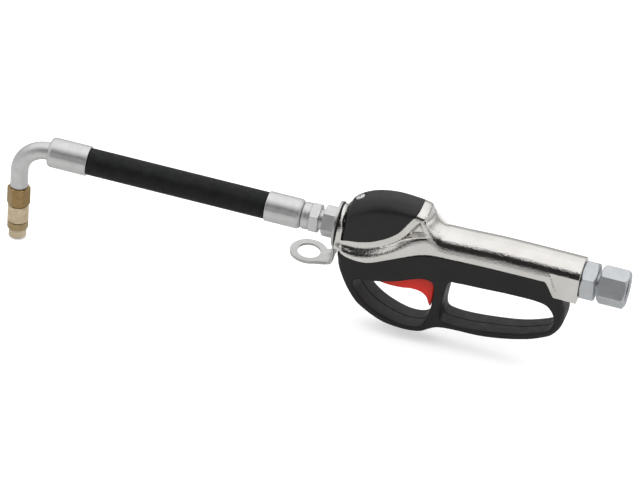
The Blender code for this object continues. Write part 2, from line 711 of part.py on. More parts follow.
def build_hook_plate():
    """Ring behind the adapter's hexagon, a tab down from it, and an eyelet bent forward from the tab."""
    back = PLATE_FACE
    front = PLATE_FACE - PLATE_THICKNESS
    plate = rod(front, back, RING_RADIUS)
    plate.rotation_euler = (0.0, math.radians(90.0), 0.0)
    low = -TAB_DROP - PLATE_THICKNESS
    combine(plate, box((front, -TAB_HALF_WIDTH, low), (back, TAB_HALF_WIDTH, 0.0)), "UNION")
    foot = box((front - 10.0 * MM, -TAB_HALF_WIDTH, low), (back, TAB_HALF_WIDTH, -TAB_DROP))
    combine(plate, foot, "UNION")
    eyelet = rod(low, -TAB_DROP, EYELET_RADIUS)
    eyelet.location = (back - EYELET_REACH, 0.0, 0.0)
    combine(plate, eyelet, "UNION")
    # Straight edge from the tab to the eyelet on the other side
    web_start, web_end = back - 3.0 * MM, back - EYELET_REACH
    web = [(web_start, 0.0), (web_start, -TAB_HALF_WIDTH), (web_end, -EYELET_RADIUS), (web_end, 0.0)]
    combine(plate, lofted([[(x, y, z) for x, y in web] for z in (low, -TAB_DROP)]), "UNION")
    eyelet_hole = rod(low - 5.0 * MM, 0.0, EYELET_HOLE)
    eyelet_hole.location = (back - EYELET_REACH, 0.0, 0.0)
    combine(plate, eyelet_hole)
    combine(plate, on_outlet(rod(-9.0 * MM, 3.0 * MM, THREAD_RADIUS + GAP)))
    # The plate is bent from sheet, so its heel is cut round
    heel = box((back - 3.0 * MM, -20.0 * MM, low - 1.0 * MM), (back + 1.0 * MM, 20.0 * MM, low + 3.0 * MM))
    bend = across(rod(-25.0 * MM, 25.0 * MM, 3.0 * MM), Vector((back - 3.0 * MM, 0.0, low + 3.0 * MM)))
    combine(heel, bend)
    combine(plate, heel)
    # Hollow neck between the tab and the eyelet on one side
    notch = rod(low - 1.0 * MM, -TAB_DROP + 1.0 * MM, 6.0 * MM)
    notch.location = (back - 7.6 * MM, 14.0 * MM, 0.0)
    combine(plate, notch)
    plate.rotation_euler = (HOOK_CLOCK, 0.0, 0.0)
    plate.data.transform(Matrix.Rotation(math.radians(90.0), 4, "Y"))
    return plate


def build_hose_nut():
    nut = hexagon(HOSE_NUT_STEP - 1.0 * MM, HOSE_NUT_REAR, FITTING_HEX, 0.8 * MM)
    collar = turned([(HOSE_NUT_FRONT, 0.0), (HOSE_NUT_FRONT, 9.6 * MM), (HOSE_NUT_FRONT + 1.2 * MM, 10.7 * MM),
                     (HOSE_NUT_STEP, 10.7 * MM), (HOSE_NUT_STEP, 0.0)])
    combine(nut, collar, "UNION")
    combine(nut, rod(-29.5 * MM, -10.0 * MM, 8.5 * MM))
    combine(nut, rod(-40.0 * MM, -20.0 * MM, 6.6 * MM))
    return on_outlet(nut)


def build_hose_nipple():
    return on_outlet(turned([(-58.0 * MM, 4.5 * MM), (-58.0 * MM, 6.0 * MM), (-29.2 * MM, 6.0 * MM),
                             (-29.2 * MM, 8.2 * MM), (-27.3 * MM, 8.2 * MM), (-27.3 * MM, 4.5 * MM)]))


def ferrule(outer_end, inner_end, neck):
    """Crimped shell from its mouth on the hose to its closed end, which has a rounded edge."""
    way = 1.0 if outer_end > inner_end else -1.0
    crimp = HOSE_CRIMPED_RADIUS + GAP
    radius = FERRULE_RADIUS
    return on_outlet(turned([
        (inner_end, crimp), (inner_end, radius - 0.4 * MM), (inner_end + way * 0.8 * MM, radius),
        (outer_end - way * 3.0 * MM, radius), (outer_end - way * 1.0 * MM, radius - 0.9 * MM),
        (outer_end, radius - 2.2 * MM), (outer_end, neck), (outer_end - way * 2.2 * MM, neck),
        (outer_end - way * 2.2 * MM, crimp)]))


def build_hose():
    front, rear = FRONT_FERRULE[1] + GAP, REAR_FERRULE[0] - GAP
    first, last = FRONT_FERRULE[0] + 3.0 * MM, REAR_FERRULE[1] - 3.0 * MM
    shoulder = 0.4 * MM
    profile = [(first, HOSE_BORE), (first, HOSE_CRIMPED_RADIUS), (front, HOSE_CRIMPED_RADIUS)]
    profile += [(x, HOSE_RADIUS) for x in spread(front + shoulder, rear - shoulder, 8)]
    profile += [(rear, HOSE_CRIMPED_RADIUS), (last, HOSE_CRIMPED_RADIUS), (last, HOSE_BORE)]
    return on_outlet(turned(profile))


def elbow_path(outer):
    """Points and directions along the elbow's centre line, from its tail in the hose to its threaded end."""
    tail, shoulder = -233.0 * MM, -235.0 * MM
    tail_radius = 6.0 * MM if outer else 4.5 * MM
    radius = TUBE_RADIUS if outer else TUBE_BORE
    path = [(Vector((-207.0 * MM, 0.0, 0.0)), 0.0, tail_radius), (Vector((tail, 0.0, 0.0)), 0.0, tail_radius),
            (Vector((shoulder, 0.0, 0.0)), 0.0, radius)]
    bend_steps = 8
    for k in range(bend_steps + 1):
        angle = BEND_ANGLE * k / bend_steps
        centre = Vector((BEND_START - BEND_RADIUS * math.sin(angle), 0.0, BEND_RADIUS * (math.cos(angle) - 1.0)))
        path.append((centre, angle, radius))
    end = tip_origin()
    down = leg_direction()
    stub = 6.2 * MM if outer else 4.5 * MM
    for distance, size in ((-0.4 * MM, radius), (-0.2 * MM, stub), (9.0 * MM, stub)):
        path.append((end + distance * down, BEND_ANGLE, size))
    return path


def swept(path, steps=16):
    rings = []
    for centre, angle, radius in path:
        up = Vector((-math.sin(angle), 0.0, math.cos(angle)))
        rings.append(swept_ring(centre, Vector((0.0, 1.0, 0.0)), up, radius, steps))
    return lofted(rings, "swept")


def build_elbow_tube():
    tube_solid = swept(elbow_path(outer=True))
    bore_path = elbow_path(outer=False)
    bore_path[0] = (bore_path[0][0] + Vector((5.0 * MM, 0.0, 0.0)), 0.0, bore_path[0][2])
    end, angle, radius = bore_path[-1]
    bore_path[-1] = (end + 5.0 * MM * leg_direction(), angle, radius)
    return combine(tube_solid, swept(bore_path))


# ---------------------------------------------------------------- non-drip tip


def build_tip_hex():
    body = hexagon(0.0, TIP_HEX_LENGTH, TIP_HEX, 0.7 * MM, TIP_CLOCK)
    combine(body, rod(TIP_HEX_LENGTH - 2.0 * MM, 33.0 * MM, 6.6 * MM), "UNION")
    combine(body, rod(-3.0 * MM, 10.0 * MM, 6.5 * MM))
    combine(body, rod(5.0 * MM, 40.0 * MM, 4.6 * MM, SMALL_ROUND_STEPS))
    return on_tip(body)


def build_tip_sleeve():
    return on_tip(turned([(TIP_HEX_LENGTH + GAP, 6.9 * MM), (TIP_HEX_LENGTH + GAP, 7.9 * MM),
                          (TIP_HEX_LENGTH + 0.8 * MM, 8.3 * MM), (SLEEVE_END - 0.6 * MM, 8.3 * MM),
                          (SLEEVE_END, 7.9 * MM), (SLEEVE_END, 6.9 * MM)]))


def build_tip_nozzle():
    top = SLEEVE_END + GAP
    seat = 39.0 * MM
    return on_tip(turned([(top, 6.9 * MM), (top, 7.9 * MM), (top + 0.4 * MM, 8.3 * MM), (top + 5.6 * MM, 8.3 * MM),
                          (top + 8.4 * MM, 6.8 * MM), (TIP_END - 0.5 * MM, 6.8 * MM), (TIP_END, 6.3 * MM),
                          (TIP_END, 5.2 * MM), (seat + 1.5 * MM, 5.0 * MM), (seat + 1.5 * MM, 3.0 * MM),
                          (seat, 3.0 * MM), (seat, 4.6 * MM), (33.3 * MM, 4.6 * MM), (33.3 * MM, 6.9 * MM)]))


def build_tip_poppet():
    head = 41.0 * MM
    return on_tip(turned([(24.0 * MM, 0.0), (24.0 * MM, 2.9 * MM), (25.4 * MM, 2.9 * MM), (25.4 * MM, 1.1 * MM),
                          (head, 1.1 * MM), (head, 3.1 * MM), (head + 0.6 * MM, 3.1 * MM), (head + 0.6 * MM, 4.4 * MM),
                          (head + 1.8 * MM, 4.2 * MM), (head + 1.8 * MM, 0.0)], SMALL_ROUND_STEPS))


def build_tip_seal():
    return on_tip(tube(40.75 * MM, 41.4 * MM, 4.3 * MM, 3.3 * MM, SMALL_ROUND_STEPS))


def build_tip_spring():
    return on_tip(coil(25.7 * MM, 38.7 * MM, 2.2 * MM, 0.4 * MM, 6, 10, 5))


# ---------------------------------------------------------------- inlet swivel


def build_inlet_adapter():
    adapter = hexagon(BODY_LENGTH + GAP, INLET_HEX_END, INLET_HEX, 1.2 * MM)
    combine(adapter, rod(178.0 * MM, BODY_LENGTH + 3.0 * MM, THREAD_RADIUS), "UNION")
    stub = turned([(200.0 * MM, 0.0), (200.0 * MM, 8.0 * MM), (208.9 * MM, 8.0 * MM), (208.9 * MM, 7.3 * MM),
                   (210.3 * MM, 7.3 * MM), (210.3 * MM, 8.0 * MM), (211.6 * MM, 8.0 * MM), (211.6 * MM, 6.9 * MM),
                   (213.2 * MM, 6.9 * MM), (213.2 * MM, 8.0 * MM), (214.6 * MM, 8.0 * MM), (214.6 * MM, 0.0)])
    combine(adapter, stub, "UNION")
    combine(adapter, rod(170.0 * MM, 220.0 * MM, 5.0 * MM, SMALL_ROUND_STEPS))
    return on_inlet(adapter)


def build_swivel_clip():
    return on_inlet(torus(209.6 * MM, 8.1 * MM, 0.5 * MM))


def build_swivel_oring():
    return on_inlet(torus(212.4 * MM, 7.6 * MM, 0.5 * MM))


def build_swivel_nut():
    nut = hexagon(SWIVEL[0], SWIVEL[1], SWIVEL_HEX, 1.5 * MM, HEX_CLOCK)
    bore = turned([(200.0 * MM, 0.0), (200.0 * MM, 8.25 * MM), (208.9 * MM, 8.25 * MM), (208.9 * MM, 8.9 * MM),
                   (210.3 * MM, 8.9 * MM), (210.3 * MM, 8.25 * MM), (215.0 * MM, 8.25 * MM), (215.0 * MM, 9.3 * MM),
                   (SWIVEL[1] - 1.0 * MM, 9.3 * MM), (SWIVEL[1] + 0.2 * MM, 10.6 * MM), (SWIVEL[1] + 3.0 * MM, 10.6 * MM),
                   (SWIVEL[1] + 3.0 * MM, 0.0)])
    combine(nut, bore)
    return on_inlet(nut)


# ---------------------------------------------------------------- whole object


def frame_offset():
    """World place of the gun's own zero, with the lowest point's middle at the world origin."""
    tube_front = BEND_START - BEND_RADIUS - TUBE_RADIUS
    hex_front = tip_origin().x - TIP_HEX / math.sqrt(3.0) * math.cos(TIP_CLOCK)
    front = min(tube_front, hex_front)
    lowest_centre = tip_origin() + TIP_END * leg_direction()
    lowest = lowest_centre.z - 6.3 * MM * abs(leg_direction().x)
    return Vector((-0.5 * (front + SWIVEL[1]), 0.0, -lowest))


def main():
    clear_scene()
    look = make_materials()
    frame = bpy.data.objects.new("gun_frame", None)
    frame.location = frame_offset()
    bpy.context.scene.collection.objects.link(frame)
    pieces = [
        ("body_casting", build_casting(), "nickel"),
        ("top_cover", build_top_cover(), "black_plastic"),
        ("cover_screw", build_cover_screw(), "steel"),
        ("guard", build_guard(), "black_plastic"),
        ("guard_screw_front", build_guard_screw(GUARD_SCREW_X[0]), "steel"),
        ("guard_screw_rear", build_guard_screw(GUARD_SCREW_X[1]), "steel"),
        ("trigger", build_trigger(), "red_plastic"),
        ("trigger_pin", build_trigger_pin(), "steel"),
        ("valve_stem", build_valve_stem(), "steel"),
        ("poppet_seal", build_poppet_seal(), "seal_rubber"),
        ("valve_seat", build_valve_seat(), "brass"),
        ("valve_spring", build_valve_spring(), "steel"),
        ("valve_cap", build_valve_cap(), "steel"),
        ("cap_oring", build_cap_oring(), "seal_rubber"),
        ("stem_gland", build_stem_gland(), "brass"),
        ("stem_oring", build_stem_oring(), "seal_rubber"),
        ("inlet_adapter", build_inlet_adapter(), "zinc"),
        ("swivel_clip", build_swivel_clip(), "steel"),
        ("swivel_oring", build_swivel_oring(), "seal_rubber"),
        ("swivel_nut", build_swivel_nut(), "zinc"),
        ("hook_plate", build_hook_plate(), "zinc"),
        ("plate_gasket", build_plate_gasket(), "seal_rubber"),
        ("outlet_adapter", build_outlet_adapter(), "zinc"),
        ("hose_nut", build_hose_nut(), "zinc"),
        ("hose_nipple", build_hose_nipple(), "steel"),
        ("rear_ferrule", ferrule(REAR_FERRULE[1], REAR_FERRULE[0], 6.3 * MM), "zinc"),
        ("hose", build_hose(), "hose_rubber"),
        ("front_ferrule", ferrule(FRONT_FERRULE[0], FRONT_FERRULE[1], TUBE_RADIUS + GAP), "zinc"),
        ("elbow_tube", build_elbow_tube(), "zinc"),
        ("tip_hex", build_tip_hex(), "brass"),
        ("tip_sleeve", build_tip_sleeve(), "brass"),
        ("tip_nozzle", build_tip_nozzle(), "brass"),
        ("tip_poppet", build_tip_poppet(), "brass"),
        ("tip_seal", build_tip_seal(), "seal_rubber"),
        ("tip_spring", build_tip_spring(), "steel"),
    ]
    for name, piece, material in pieces:
        finish_piece(piece, name, look[material], frame)


main()
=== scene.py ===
"""Looks of the hand-held oil control gun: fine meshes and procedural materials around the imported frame."""

import functools
import json
import math

import bmesh
import bpy
import numpy as np
from mathutils import Matrix, Vector

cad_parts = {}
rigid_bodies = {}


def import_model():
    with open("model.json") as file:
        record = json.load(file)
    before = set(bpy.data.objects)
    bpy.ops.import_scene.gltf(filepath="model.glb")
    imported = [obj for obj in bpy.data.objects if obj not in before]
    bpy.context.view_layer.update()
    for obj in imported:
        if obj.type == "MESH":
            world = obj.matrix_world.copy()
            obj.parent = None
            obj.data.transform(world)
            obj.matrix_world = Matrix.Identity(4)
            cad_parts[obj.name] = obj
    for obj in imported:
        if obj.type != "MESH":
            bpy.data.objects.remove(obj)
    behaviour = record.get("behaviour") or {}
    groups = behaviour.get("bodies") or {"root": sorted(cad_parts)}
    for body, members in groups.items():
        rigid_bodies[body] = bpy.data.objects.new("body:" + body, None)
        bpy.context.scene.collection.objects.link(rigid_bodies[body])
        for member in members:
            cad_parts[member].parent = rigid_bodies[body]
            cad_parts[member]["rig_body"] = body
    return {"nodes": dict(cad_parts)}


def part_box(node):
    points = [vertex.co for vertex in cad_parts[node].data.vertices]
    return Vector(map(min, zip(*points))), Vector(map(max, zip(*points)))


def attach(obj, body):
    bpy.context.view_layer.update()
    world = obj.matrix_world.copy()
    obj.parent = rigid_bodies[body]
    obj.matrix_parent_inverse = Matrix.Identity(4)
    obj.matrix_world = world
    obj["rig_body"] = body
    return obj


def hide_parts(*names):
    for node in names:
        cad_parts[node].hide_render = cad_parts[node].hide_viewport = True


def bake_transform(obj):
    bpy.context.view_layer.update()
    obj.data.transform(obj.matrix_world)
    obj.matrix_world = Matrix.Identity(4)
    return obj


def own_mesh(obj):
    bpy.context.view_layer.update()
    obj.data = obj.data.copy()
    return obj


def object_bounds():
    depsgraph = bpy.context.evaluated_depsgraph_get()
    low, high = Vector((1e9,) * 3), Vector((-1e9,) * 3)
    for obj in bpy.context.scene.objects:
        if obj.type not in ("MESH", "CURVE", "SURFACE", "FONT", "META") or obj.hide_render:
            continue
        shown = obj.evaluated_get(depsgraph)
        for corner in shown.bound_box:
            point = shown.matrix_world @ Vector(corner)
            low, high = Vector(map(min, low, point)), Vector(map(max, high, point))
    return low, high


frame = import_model()
CAD_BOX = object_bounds()

MM = 0.001
GAP = 0.3 * MM

def mm(*pairs):
    """Pairs of lengths given in millimetres."""
    return [(x * MM, z * MM) for x, z in pairs]


def at(x, z):
    """Point in the gun's middle plane."""
    return Vector((x, 0.0, z))


# The gun's own zero: the outlet axis at the casting's front face. x runs to the inlet, z up.
HOSE_LOW, HOSE_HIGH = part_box("hose")
ORIGIN = at(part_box("body_casting")[0].x, 0.5 * (HOSE_LOW.z + HOSE_HIGH.z))


def node_span(node):
    """Lowest and highest corner of a CAD node in the gun's axes."""
    low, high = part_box(node)
    return low - ORIGIN, high - ORIGIN


# Casting and cover
BODY_LENGTH = node_span("body_casting")[1].x
HANDLE_RADIUS = 17.5 * MM
HANDLE_START = 84.0 * MM
COLLAR_END = 68.5 * MM
INLET_RISE = 4.6 * MM
RIB_HALF_WIDTH = 14.2 * MM
RIB_START = 8.0 * MM
RIB_END = 170.0 * MM
RIB_BOTTOM = -11.0 * MM
COVER_FRONT = 4.5 * MM
COVER_WALL = 2.6 * MM
CORE_INSET = 3.8 * MM
CORE_TOP = 24.5 * MM
OUTLET_BOSS_RADIUS = 12.0 * MM
RIM_WIDTH = 5.0 * MM
RIM_WIDTH_ON_TOP = 7.0 * MM
RIM_STEP = 0.6 * MM
RECESS_DEPTH = 4.2 * MM
CREASE_DEPTH = 1.8 * MM
PAD_HALF_WIDTH = 16.0 * MM
VALVE_X = 43.0 * MM
CHAMBER_RADIUS = 8.5 * MM
EDGE_RADIUS = 0.9 * MM
COVER_EDGE_RADIUS = 3.6 * MM

# Trigger and guard
PIVOT = at(25.0 * MM, -20.0 * MM)
TRIGGER_HALF_WIDTH = 8.6 * MM
SLOT_HALF_WIDTH = 9.3 * MM
PIN_RADIUS = 2.15 * MM
GUARD_WIDTH_AT_ORIGIN = 21.9 * MM
GUARD_DRAFT_Z = 0.083
GUARD_DRAFT_X = -0.034
GUARD_SCREW_X = (104.0 * MM, 152.0 * MM)
SCREW_HOLE = 2.2 * MM
SLOT_END = 84.5 * MM

# Fittings
FITTING_HEX = 22.0 * MM
INLET_HEX = 29.0 * MM
SWIVEL_HEX = 27.0 * MM
TIP_HEX = 16.0 * MM
THREAD_RADIUS = 10.4 * MM
THREAD_ROOT = THREAD_RADIUS - 0.7 * MM
THREAD_PITCH = 1.8 * MM
ADAPTER_BORE = 5.0 * MM
PLATE_THICKNESS = 2.0 * MM
PLATE_FACE = -1.1 * MM
RING_RADIUS = 18.0 * MM
TAB_DROP = 32.5 * MM
EYELET_REACH = 21.5 * MM
EYELET_RADIUS = 15.0 * MM
EYELET_HOLE = 9.0 * MM
HOOK_CLOCK = math.radians(5.0)
REAR_FERRULE = (-59.5 * MM, -30.8 * MM)
FRONT_FERRULE = (-236.5 * MM, -204.5 * MM)
FERRULE_RADIUS = 11.9 * MM
HOSE_RADIUS = 10.7 * MM
HOSE_CRIMPED_RADIUS = 8.4 * MM
HOSE_BORE = 6.4 * MM
TUBE_RADIUS = 7.0 * MM
TUBE_BORE = 5.2 * MM
BEND_RADIUS = 22.0 * MM
BEND_START = -237.0 * MM
BEND_ANGLE = math.radians(94.0)
LEG_LENGTH = 14.15 * MM
TIP_HEX_LENGTH = 16.0 * MM
SLEEVE_END = 30.5 * MM
NOZZLE_SHOULDER = SLEEVE_END + 6.5 * MM
TIP_END = 45.0 * MM
SPRING_SEAT = 38.7 * MM


BODY_TOP = mm((0, 17.7), (4.2, 18.8), (5.6, 23.4), (10, 28), (16, 31.5), (22, 34.2), (31, 36.5), (42, 37.6),
              (53, 37), (62, 36), (68.5, 33.8), (73, 27.5), (78, 23), (84, 21), (130, 22.4), (193.4, 22.1))
BODY_HALF_WIDTH = mm((0, 17.9), (4.2, 18.3), (5.8, 20.2), (8, 20.9), (16, 21.8), (28, 22), (45, 21.2),
                     (60, 19.2), (72, 17.9), (84, 17.5), (193.4, 17.5))
SHOULDER_REACH = mm((0, 0.8), (4, 2.2), (8, 3.8), (14, 4.6), (44, 4.6), (56, 4.0), (66, 3.2), (76, 1.6),
                    (84, 0.6))
SHELF_FOOT = mm((0, -6.4), (10, -7), (19, -6.3), (31.8, -2.6), (44, 3.4), (51.5, 9), (62, 14), (78, 17.2),
                (84, 17.4))
SHOULDER_LINE = mm((0, -9.4), (17, -11.8), (27, -10.4), (36, -6.6), (44.6, -1.6), (52, 2.4), (62, 6.2),
                   (84, 8))
CREASE_DROP = mm((0, 6.5), (5, 9), (16, 8), (35, 6.4), (61, 4.6))
CREASE_Y = mm((0, 10.5), (6, 14), (16, 15), (35, 14.5), (61, 13.5))
BODY_WIDEST = mm((0, -10.6), (17, -13), (27, -12), (36, -8.4), (44.6, -3.8), (52, 0.2), (62, 2.6), (84, 3.4),
                 (130, 5.2), (193.4, 5.2))
BODY_LEDGE = mm((0, -12), (5, -12.4), (11.5, -14.6), (23, -15.6), (31, -14.2), (46, -7.6), (61, -1.6),
                (76, 2.4), (110, 4.4), (140, 4.7), (164, 4.7), (168, 4), (175, -7.8), (177, -8.2),
                (193.4, -9))
COVER_EDGE = mm((4.5, -4), (9.6, -2.9), (18.2, -1.6), (27.9, 1.2), (34, 4.1), (40.3, 7.7), (46, 12.1),
                (50.6, 17), (57, 27.4), (61.5, 34), (63, 42))
RECESS_RIDGE = mm((62.5, 33), (64.4, 28.4), (66.8, 22.6), (71.4, 18.2), (77, 15.6))
NECK_CREASE = mm((68, 34), (68.7, 30), (70, 24.7), (74.5, 21.1), (79.2, 18.5), (86, 17.2))
PAD_EDGE = mm((168, 13), (171, 9), (174.5, 0), (178.5, -9))
GUARD_OUTER = mm((4.2, -12.7), (5.5, -25.6), (11, -39.1), (18, -50.1), (27, -59.1), (44, -68.6), (61, -71.6),
                 (75, -70.4), (83, -65.8), (89, -62.8), (100, -61.6), (124, -61.4), (148, -57.6),
                 (171, -50.6), (179, -45.6), (184.5, -35.6), (185.5, -23.6), (183, -9.6))
FRONT_OPENING = mm((30, -33.6), (42, -31.2), (55, -27.1), (69, -21.2), (77, -20.4), (81.8, -24.5),
                   (82.3, -40), (80, -56), (75, -65.2), (62, -67.3), (46, -63.3), (33, -56.5), (24, -47.6),
                   (18.9, -39.2), (22, -34.6))
REAR_OPENING = mm((93, -19), (100, -16.8), (118, -16.4), (142, -15.9), (165, -16.9), (174, -21.5),
                  (178.2, -31), (176, -40), (169, -45), (149, -51.8), (117, -56.6), (97, -56.9), (90, -53),
                  (90, -38))
TRIGGER_TOP = mm((19, -19.5), (21, -15.2), (26, -14.1), (50, -17.5), (72, -20.2), (80, -21.6), (81.3, -24))
TRIGGER_LOWER = mm((81.3, -40), (80.4, -47.6), (78.5, -46.2), (76, -41), (71, -37.6), (64, -36.8), (56, -38),
                   (46, -38.4), (37, -37), (29, -32), (22, -26), (19.2, -22))


def curve(points, x):
    """Value at x of the smooth curve through (x, value) points, flat beyond its ends."""
    if x <= points[0][0]:
        return points[0][1]
    if x >= points[-1][0]:
        return points[-1][1]
    i = next(k for k in range(len(points) - 1) if x <= points[k + 1][0])
    before = points[max(i - 1, 0)]
    after = points[min(i + 2, len(points) - 1)]
    (x0, v0), (x1, v1) = points[i], points[i + 1]
    span = x1 - x0
    slope0 = (v1 - before[1]) / (x1 - before[0])
    slope1 = (after[1] - v0) / (after[0] - x0)
    t = (x - x0) / span
    rise = v1 - v0
    a = (slope0 + slope1) * span - 2.0 * rise
    b = 3.0 * rise - (2.0 * slope0 + slope1) * span
    return v0 + t * (slope0 * span + t * (b + t * a))


def smooth_loop(points, steps, closed=True):
    """Points along a smooth curve through the given corner points."""
    count = len(points)
    spans = count if closed else count - 1
    loop = []
    for i in range(spans):
        if closed:
            near = [points[(i + k) % count] for k in (-1, 0, 1, 2)]
        else:
            near = [points[min(max(i + k, 0), count - 1)] for k in (-1, 0, 1, 2)]
        p0, p1, p2, p3 = (Vector(p) for p in near)
        for step in range(steps):
            t = step / steps
            loop.append(0.5 * (2.0 * p1 + t * (p2 - p0) + t * t * (2.0 * p0 - 5.0 * p1 + 4.0 * p2 - p3)
                               + t ** 3 * (3.0 * p1 - p0 - 3.0 * p2 + p3)))
    if not closed:
        loop.append(Vector(points[-1]))
    return [(p.x, p.y) for p in loop]


def arc_point(t, start, corner, end):
    """Point of the curve that leaves start toward the corner and arrives at end from it."""
    return (1 - t) ** 2 * start + 2 * t * (1 - t) * corner + t * t * end


def ease(value, start, end):
    """Smooth step from 0 at start to 1 at end, for a number or an array."""
    t = np.clip((value - start) / (end - start), 0.0, 1.0)
    return t * t * (3.0 - 2.0 * t)


# ---------------------------------------------------------------- meshes


def object_from(bm, name="piece"):
    bmesh.ops.recalc_face_normals(bm, faces=bm.faces)
    mesh = bpy.data.meshes.new(name)
    bm.to_mesh(mesh)
    bm.free()
    obj = bpy.data.objects.new(name, mesh)
    bpy.context.scene.collection.objects.link(obj)
    return obj


def tidy_faces(obj):
    """Welds points that meet and leaves only triangles, which stay flat when they are cut."""
    bm = bmesh.new()
    bm.from_mesh(obj.data)
    bmesh.ops.remove_doubles(bm, verts=bm.verts, dist=0.0002 * MM)
    bmesh.ops.dissolve_degenerate(bm, edges=bm.edges, dist=0.0002 * MM)
    bmesh.ops.triangulate(bm, faces=bm.faces)
    bm.to_mesh(obj.data)
    bm.free()


def combine(target, cutter, operation="DIFFERENCE"):
    """Cuts, joins or trims the target with the cutter, which is used up."""
    tidy_faces(target)
    tidy_faces(cutter)
    modifier = target.modifiers.new(operation.lower(), "BOOLEAN")
    modifier.operation = operation
    modifier.object = cutter
    bpy.context.view_layer.update()
    graph = bpy.context.evaluated_depsgraph_get()
    result = bpy.data.meshes.new_from_object(target.evaluated_get(graph))
    target.modifiers.clear()
    target.data = result
    bpy.data.objects.remove(cutter, do_unlink=True)
    tidy_faces(target)
    return target


def united(cutters):
    """One closed body from several that overlap."""
    whole = cutters[0]
    bpy.context.view_layer.update()
    whole.data.transform(whole.matrix_world)
    whole.matrix_world = Matrix.Identity(4)
    for cutter in cutters[1:]:
        combine(whole, cutter, "UNION")
    return whole


def skinned(bm, rings):
    """Vertices of closed rings with the same number of points, with faces from each ring to the next."""
    verts = [[bm.verts.new(p) for p in ring] for ring in rings]
    count = len(verts[0])
    for near, far in zip(verts, verts[1:]):
        for k in range(count):
            n = (k + 1) % count
            bm.faces.new((near[k], near[n], far[n], far[k]))
    return verts


def lofted(rings):
    """Closed body through rings with the same number of points."""
    bm = bmesh.new()
    verts = skinned(bm, rings)
    bm.faces.new(verts[0])
    bm.faces.new(verts[-1])
    return object_from(bm)


def fillet(points, radius, steps=4):
    """Rounds every inner corner of a polyline of (height, radius) points."""
    rounded = [points[0]]
    for before, corner, after in zip(points, points[1:], points[2:]):
        p, b, a = Vector(corner), Vector(before), Vector(after)
        cut = min(radius, 0.45 * (b - p).length, 0.45 * (a - p).length)
        start = p + (b - p).normalized() * cut
        end = p + (a - p).normalized() * cut
        for k in range(steps + 1):
            rounded.append(tuple(arc_point(k / steps, start, p, end)))
    rounded.append(points[-1])
    return rounded


def refined(points, step):
    """Adds points along a polyline so that none is farther than a step from the next."""
    fine = []
    for a, b in zip(points, points[1:]):
        pieces = max(1, math.ceil(math.dist(a, b) / step))
        fine += [tuple(p + (q - p) * k / pieces for p, q in zip(a, b)) for k in range(pieces)]
    fine.append(points[-1])
    return fine


CORNER_STEPS = (0.0, 0.7, 1.5, 2.6, 4.2, 7.0, 12.0, 18.0, 24.0)
HEX_SHARPNESS = 110.0
HEX_ANGLES = sorted({round((60.0 * k + sign * a) % 360.0, 4)
                     for k in range(6) for a in CORNER_STEPS + (30.0,) for sign in (1.0, -1.0)})


def round_angles(steps):
    return [2.0 * math.pi * k / steps for k in range(steps)]


def hex_radius(angle, across_flats):
    """Radius of a hexagon with slightly rounded corners, one of them at angle 0."""
    total = sum(max(math.cos(angle - math.radians(30.0 + 60.0 * k)), 0.0) ** HEX_SHARPNESS for k in range(6))
    return 0.5 * across_flats / total ** (1.0 / HEX_SHARPNESS)


def spun(profile, steps=72, flats=None, lobes=None):
    """Body about z from (height, radius) points: closed round the axis if it starts and ends there, and
    otherwise around a bore. Flats clip the radius to a hexagon, and lobes to (count, least radius)."""
    solid = profile[0][1] == 0.0
    angles = [math.radians(a) for a in HEX_ANGLES] if flats else round_angles(steps)
    limits = [hex_radius(a, flats) if flats else 1.0 for a in angles]
    if lobes:
        count, least = lobes
        limits = [least / math.cos((a % (2 * math.pi / count)) - math.pi / count) for a in angles]
    bm = bmesh.new()
    rings = []
    for height, radius in profile:
        if radius == 0.0:
            rings.append([bm.verts.new((0.0, 0.0, height))] * len(angles))
            continue
        places = [(min(radius, limit), angle) for limit, angle in zip(limits, angles)]
        rings.append([bm.verts.new((r * math.cos(a), r * math.sin(a), height)) for r, a in places])
    pairs = list(zip(rings, rings[1:]))
    if not solid:
        pairs.append((rings[-1], rings[0]))
    for lower, upper in pairs:
        for k in range(len(angles)):
            n = (k + 1) % len(angles)
            corners = []
            for vert in (lower[k], lower[n], upper[n], upper[k]):
                if vert not in corners:
                    corners.append(vert)
            if len(corners) > 2:
                bm.faces.new(corners)
    return object_from(bm)


def rod(start, end, radius, steps=48):
    return spun([(start, 0.0), (start, radius), (end, radius), (end, 0.0)], steps)


def extruded(outline, low, high):
    """Prism across y from an outline of (x, z) points."""
    return lofted([[(x, y, z) for x, z in outline] for y in (low, high)])


def box(low, high):
    corners = [(low[0], low[2]), (high[0], low[2]), (high[0], high[2]), (low[0], high[2])]
    return extruded(corners, low[1], high[1])


def circle(centre, first, second, radius, steps):
    """Points round a centre, in the plane of two unit directions."""
    return [centre + radius * (math.cos(a) * first + math.sin(a) * second) for a in round_angles(steps)]


def swept(path, steps):
    """Pipe along (centre, angle, radius) stations in the plane y = 0."""
    rings = []
    for centre, angle, radius in path:
        up = at(-math.sin(angle), math.cos(angle))
        rings.append(circle(centre, Vector((0, 1, 0)), up, radius, steps))
    return lofted(rings)


def coil(start, end, coil_radius, wire_radius, turns, steps_per_turn=32, wire_steps=12):
    """Compression spring about z with closed ends."""
    count = int(turns * steps_per_turn)
    low, high = start + wire_radius, end - wire_radius
    rings = []
    for k in range(count + 1):
        share = k / count
        rise = 0.5 * (1.0 - math.cos(math.pi * share))
        height = low + (high - low) * (0.75 * share + 0.25 * rise)
        angle = 2.0 * math.pi * k / steps_per_turn
        outward = Vector((math.cos(angle), math.sin(angle), 0.0))
        centre = coil_radius * outward + at(0.0, height)
        rings.append(circle(centre, outward, at(0.0, 1.0), wire_radius, wire_steps))
    return lofted(rings)


# ---------------------------------------------------------------- places


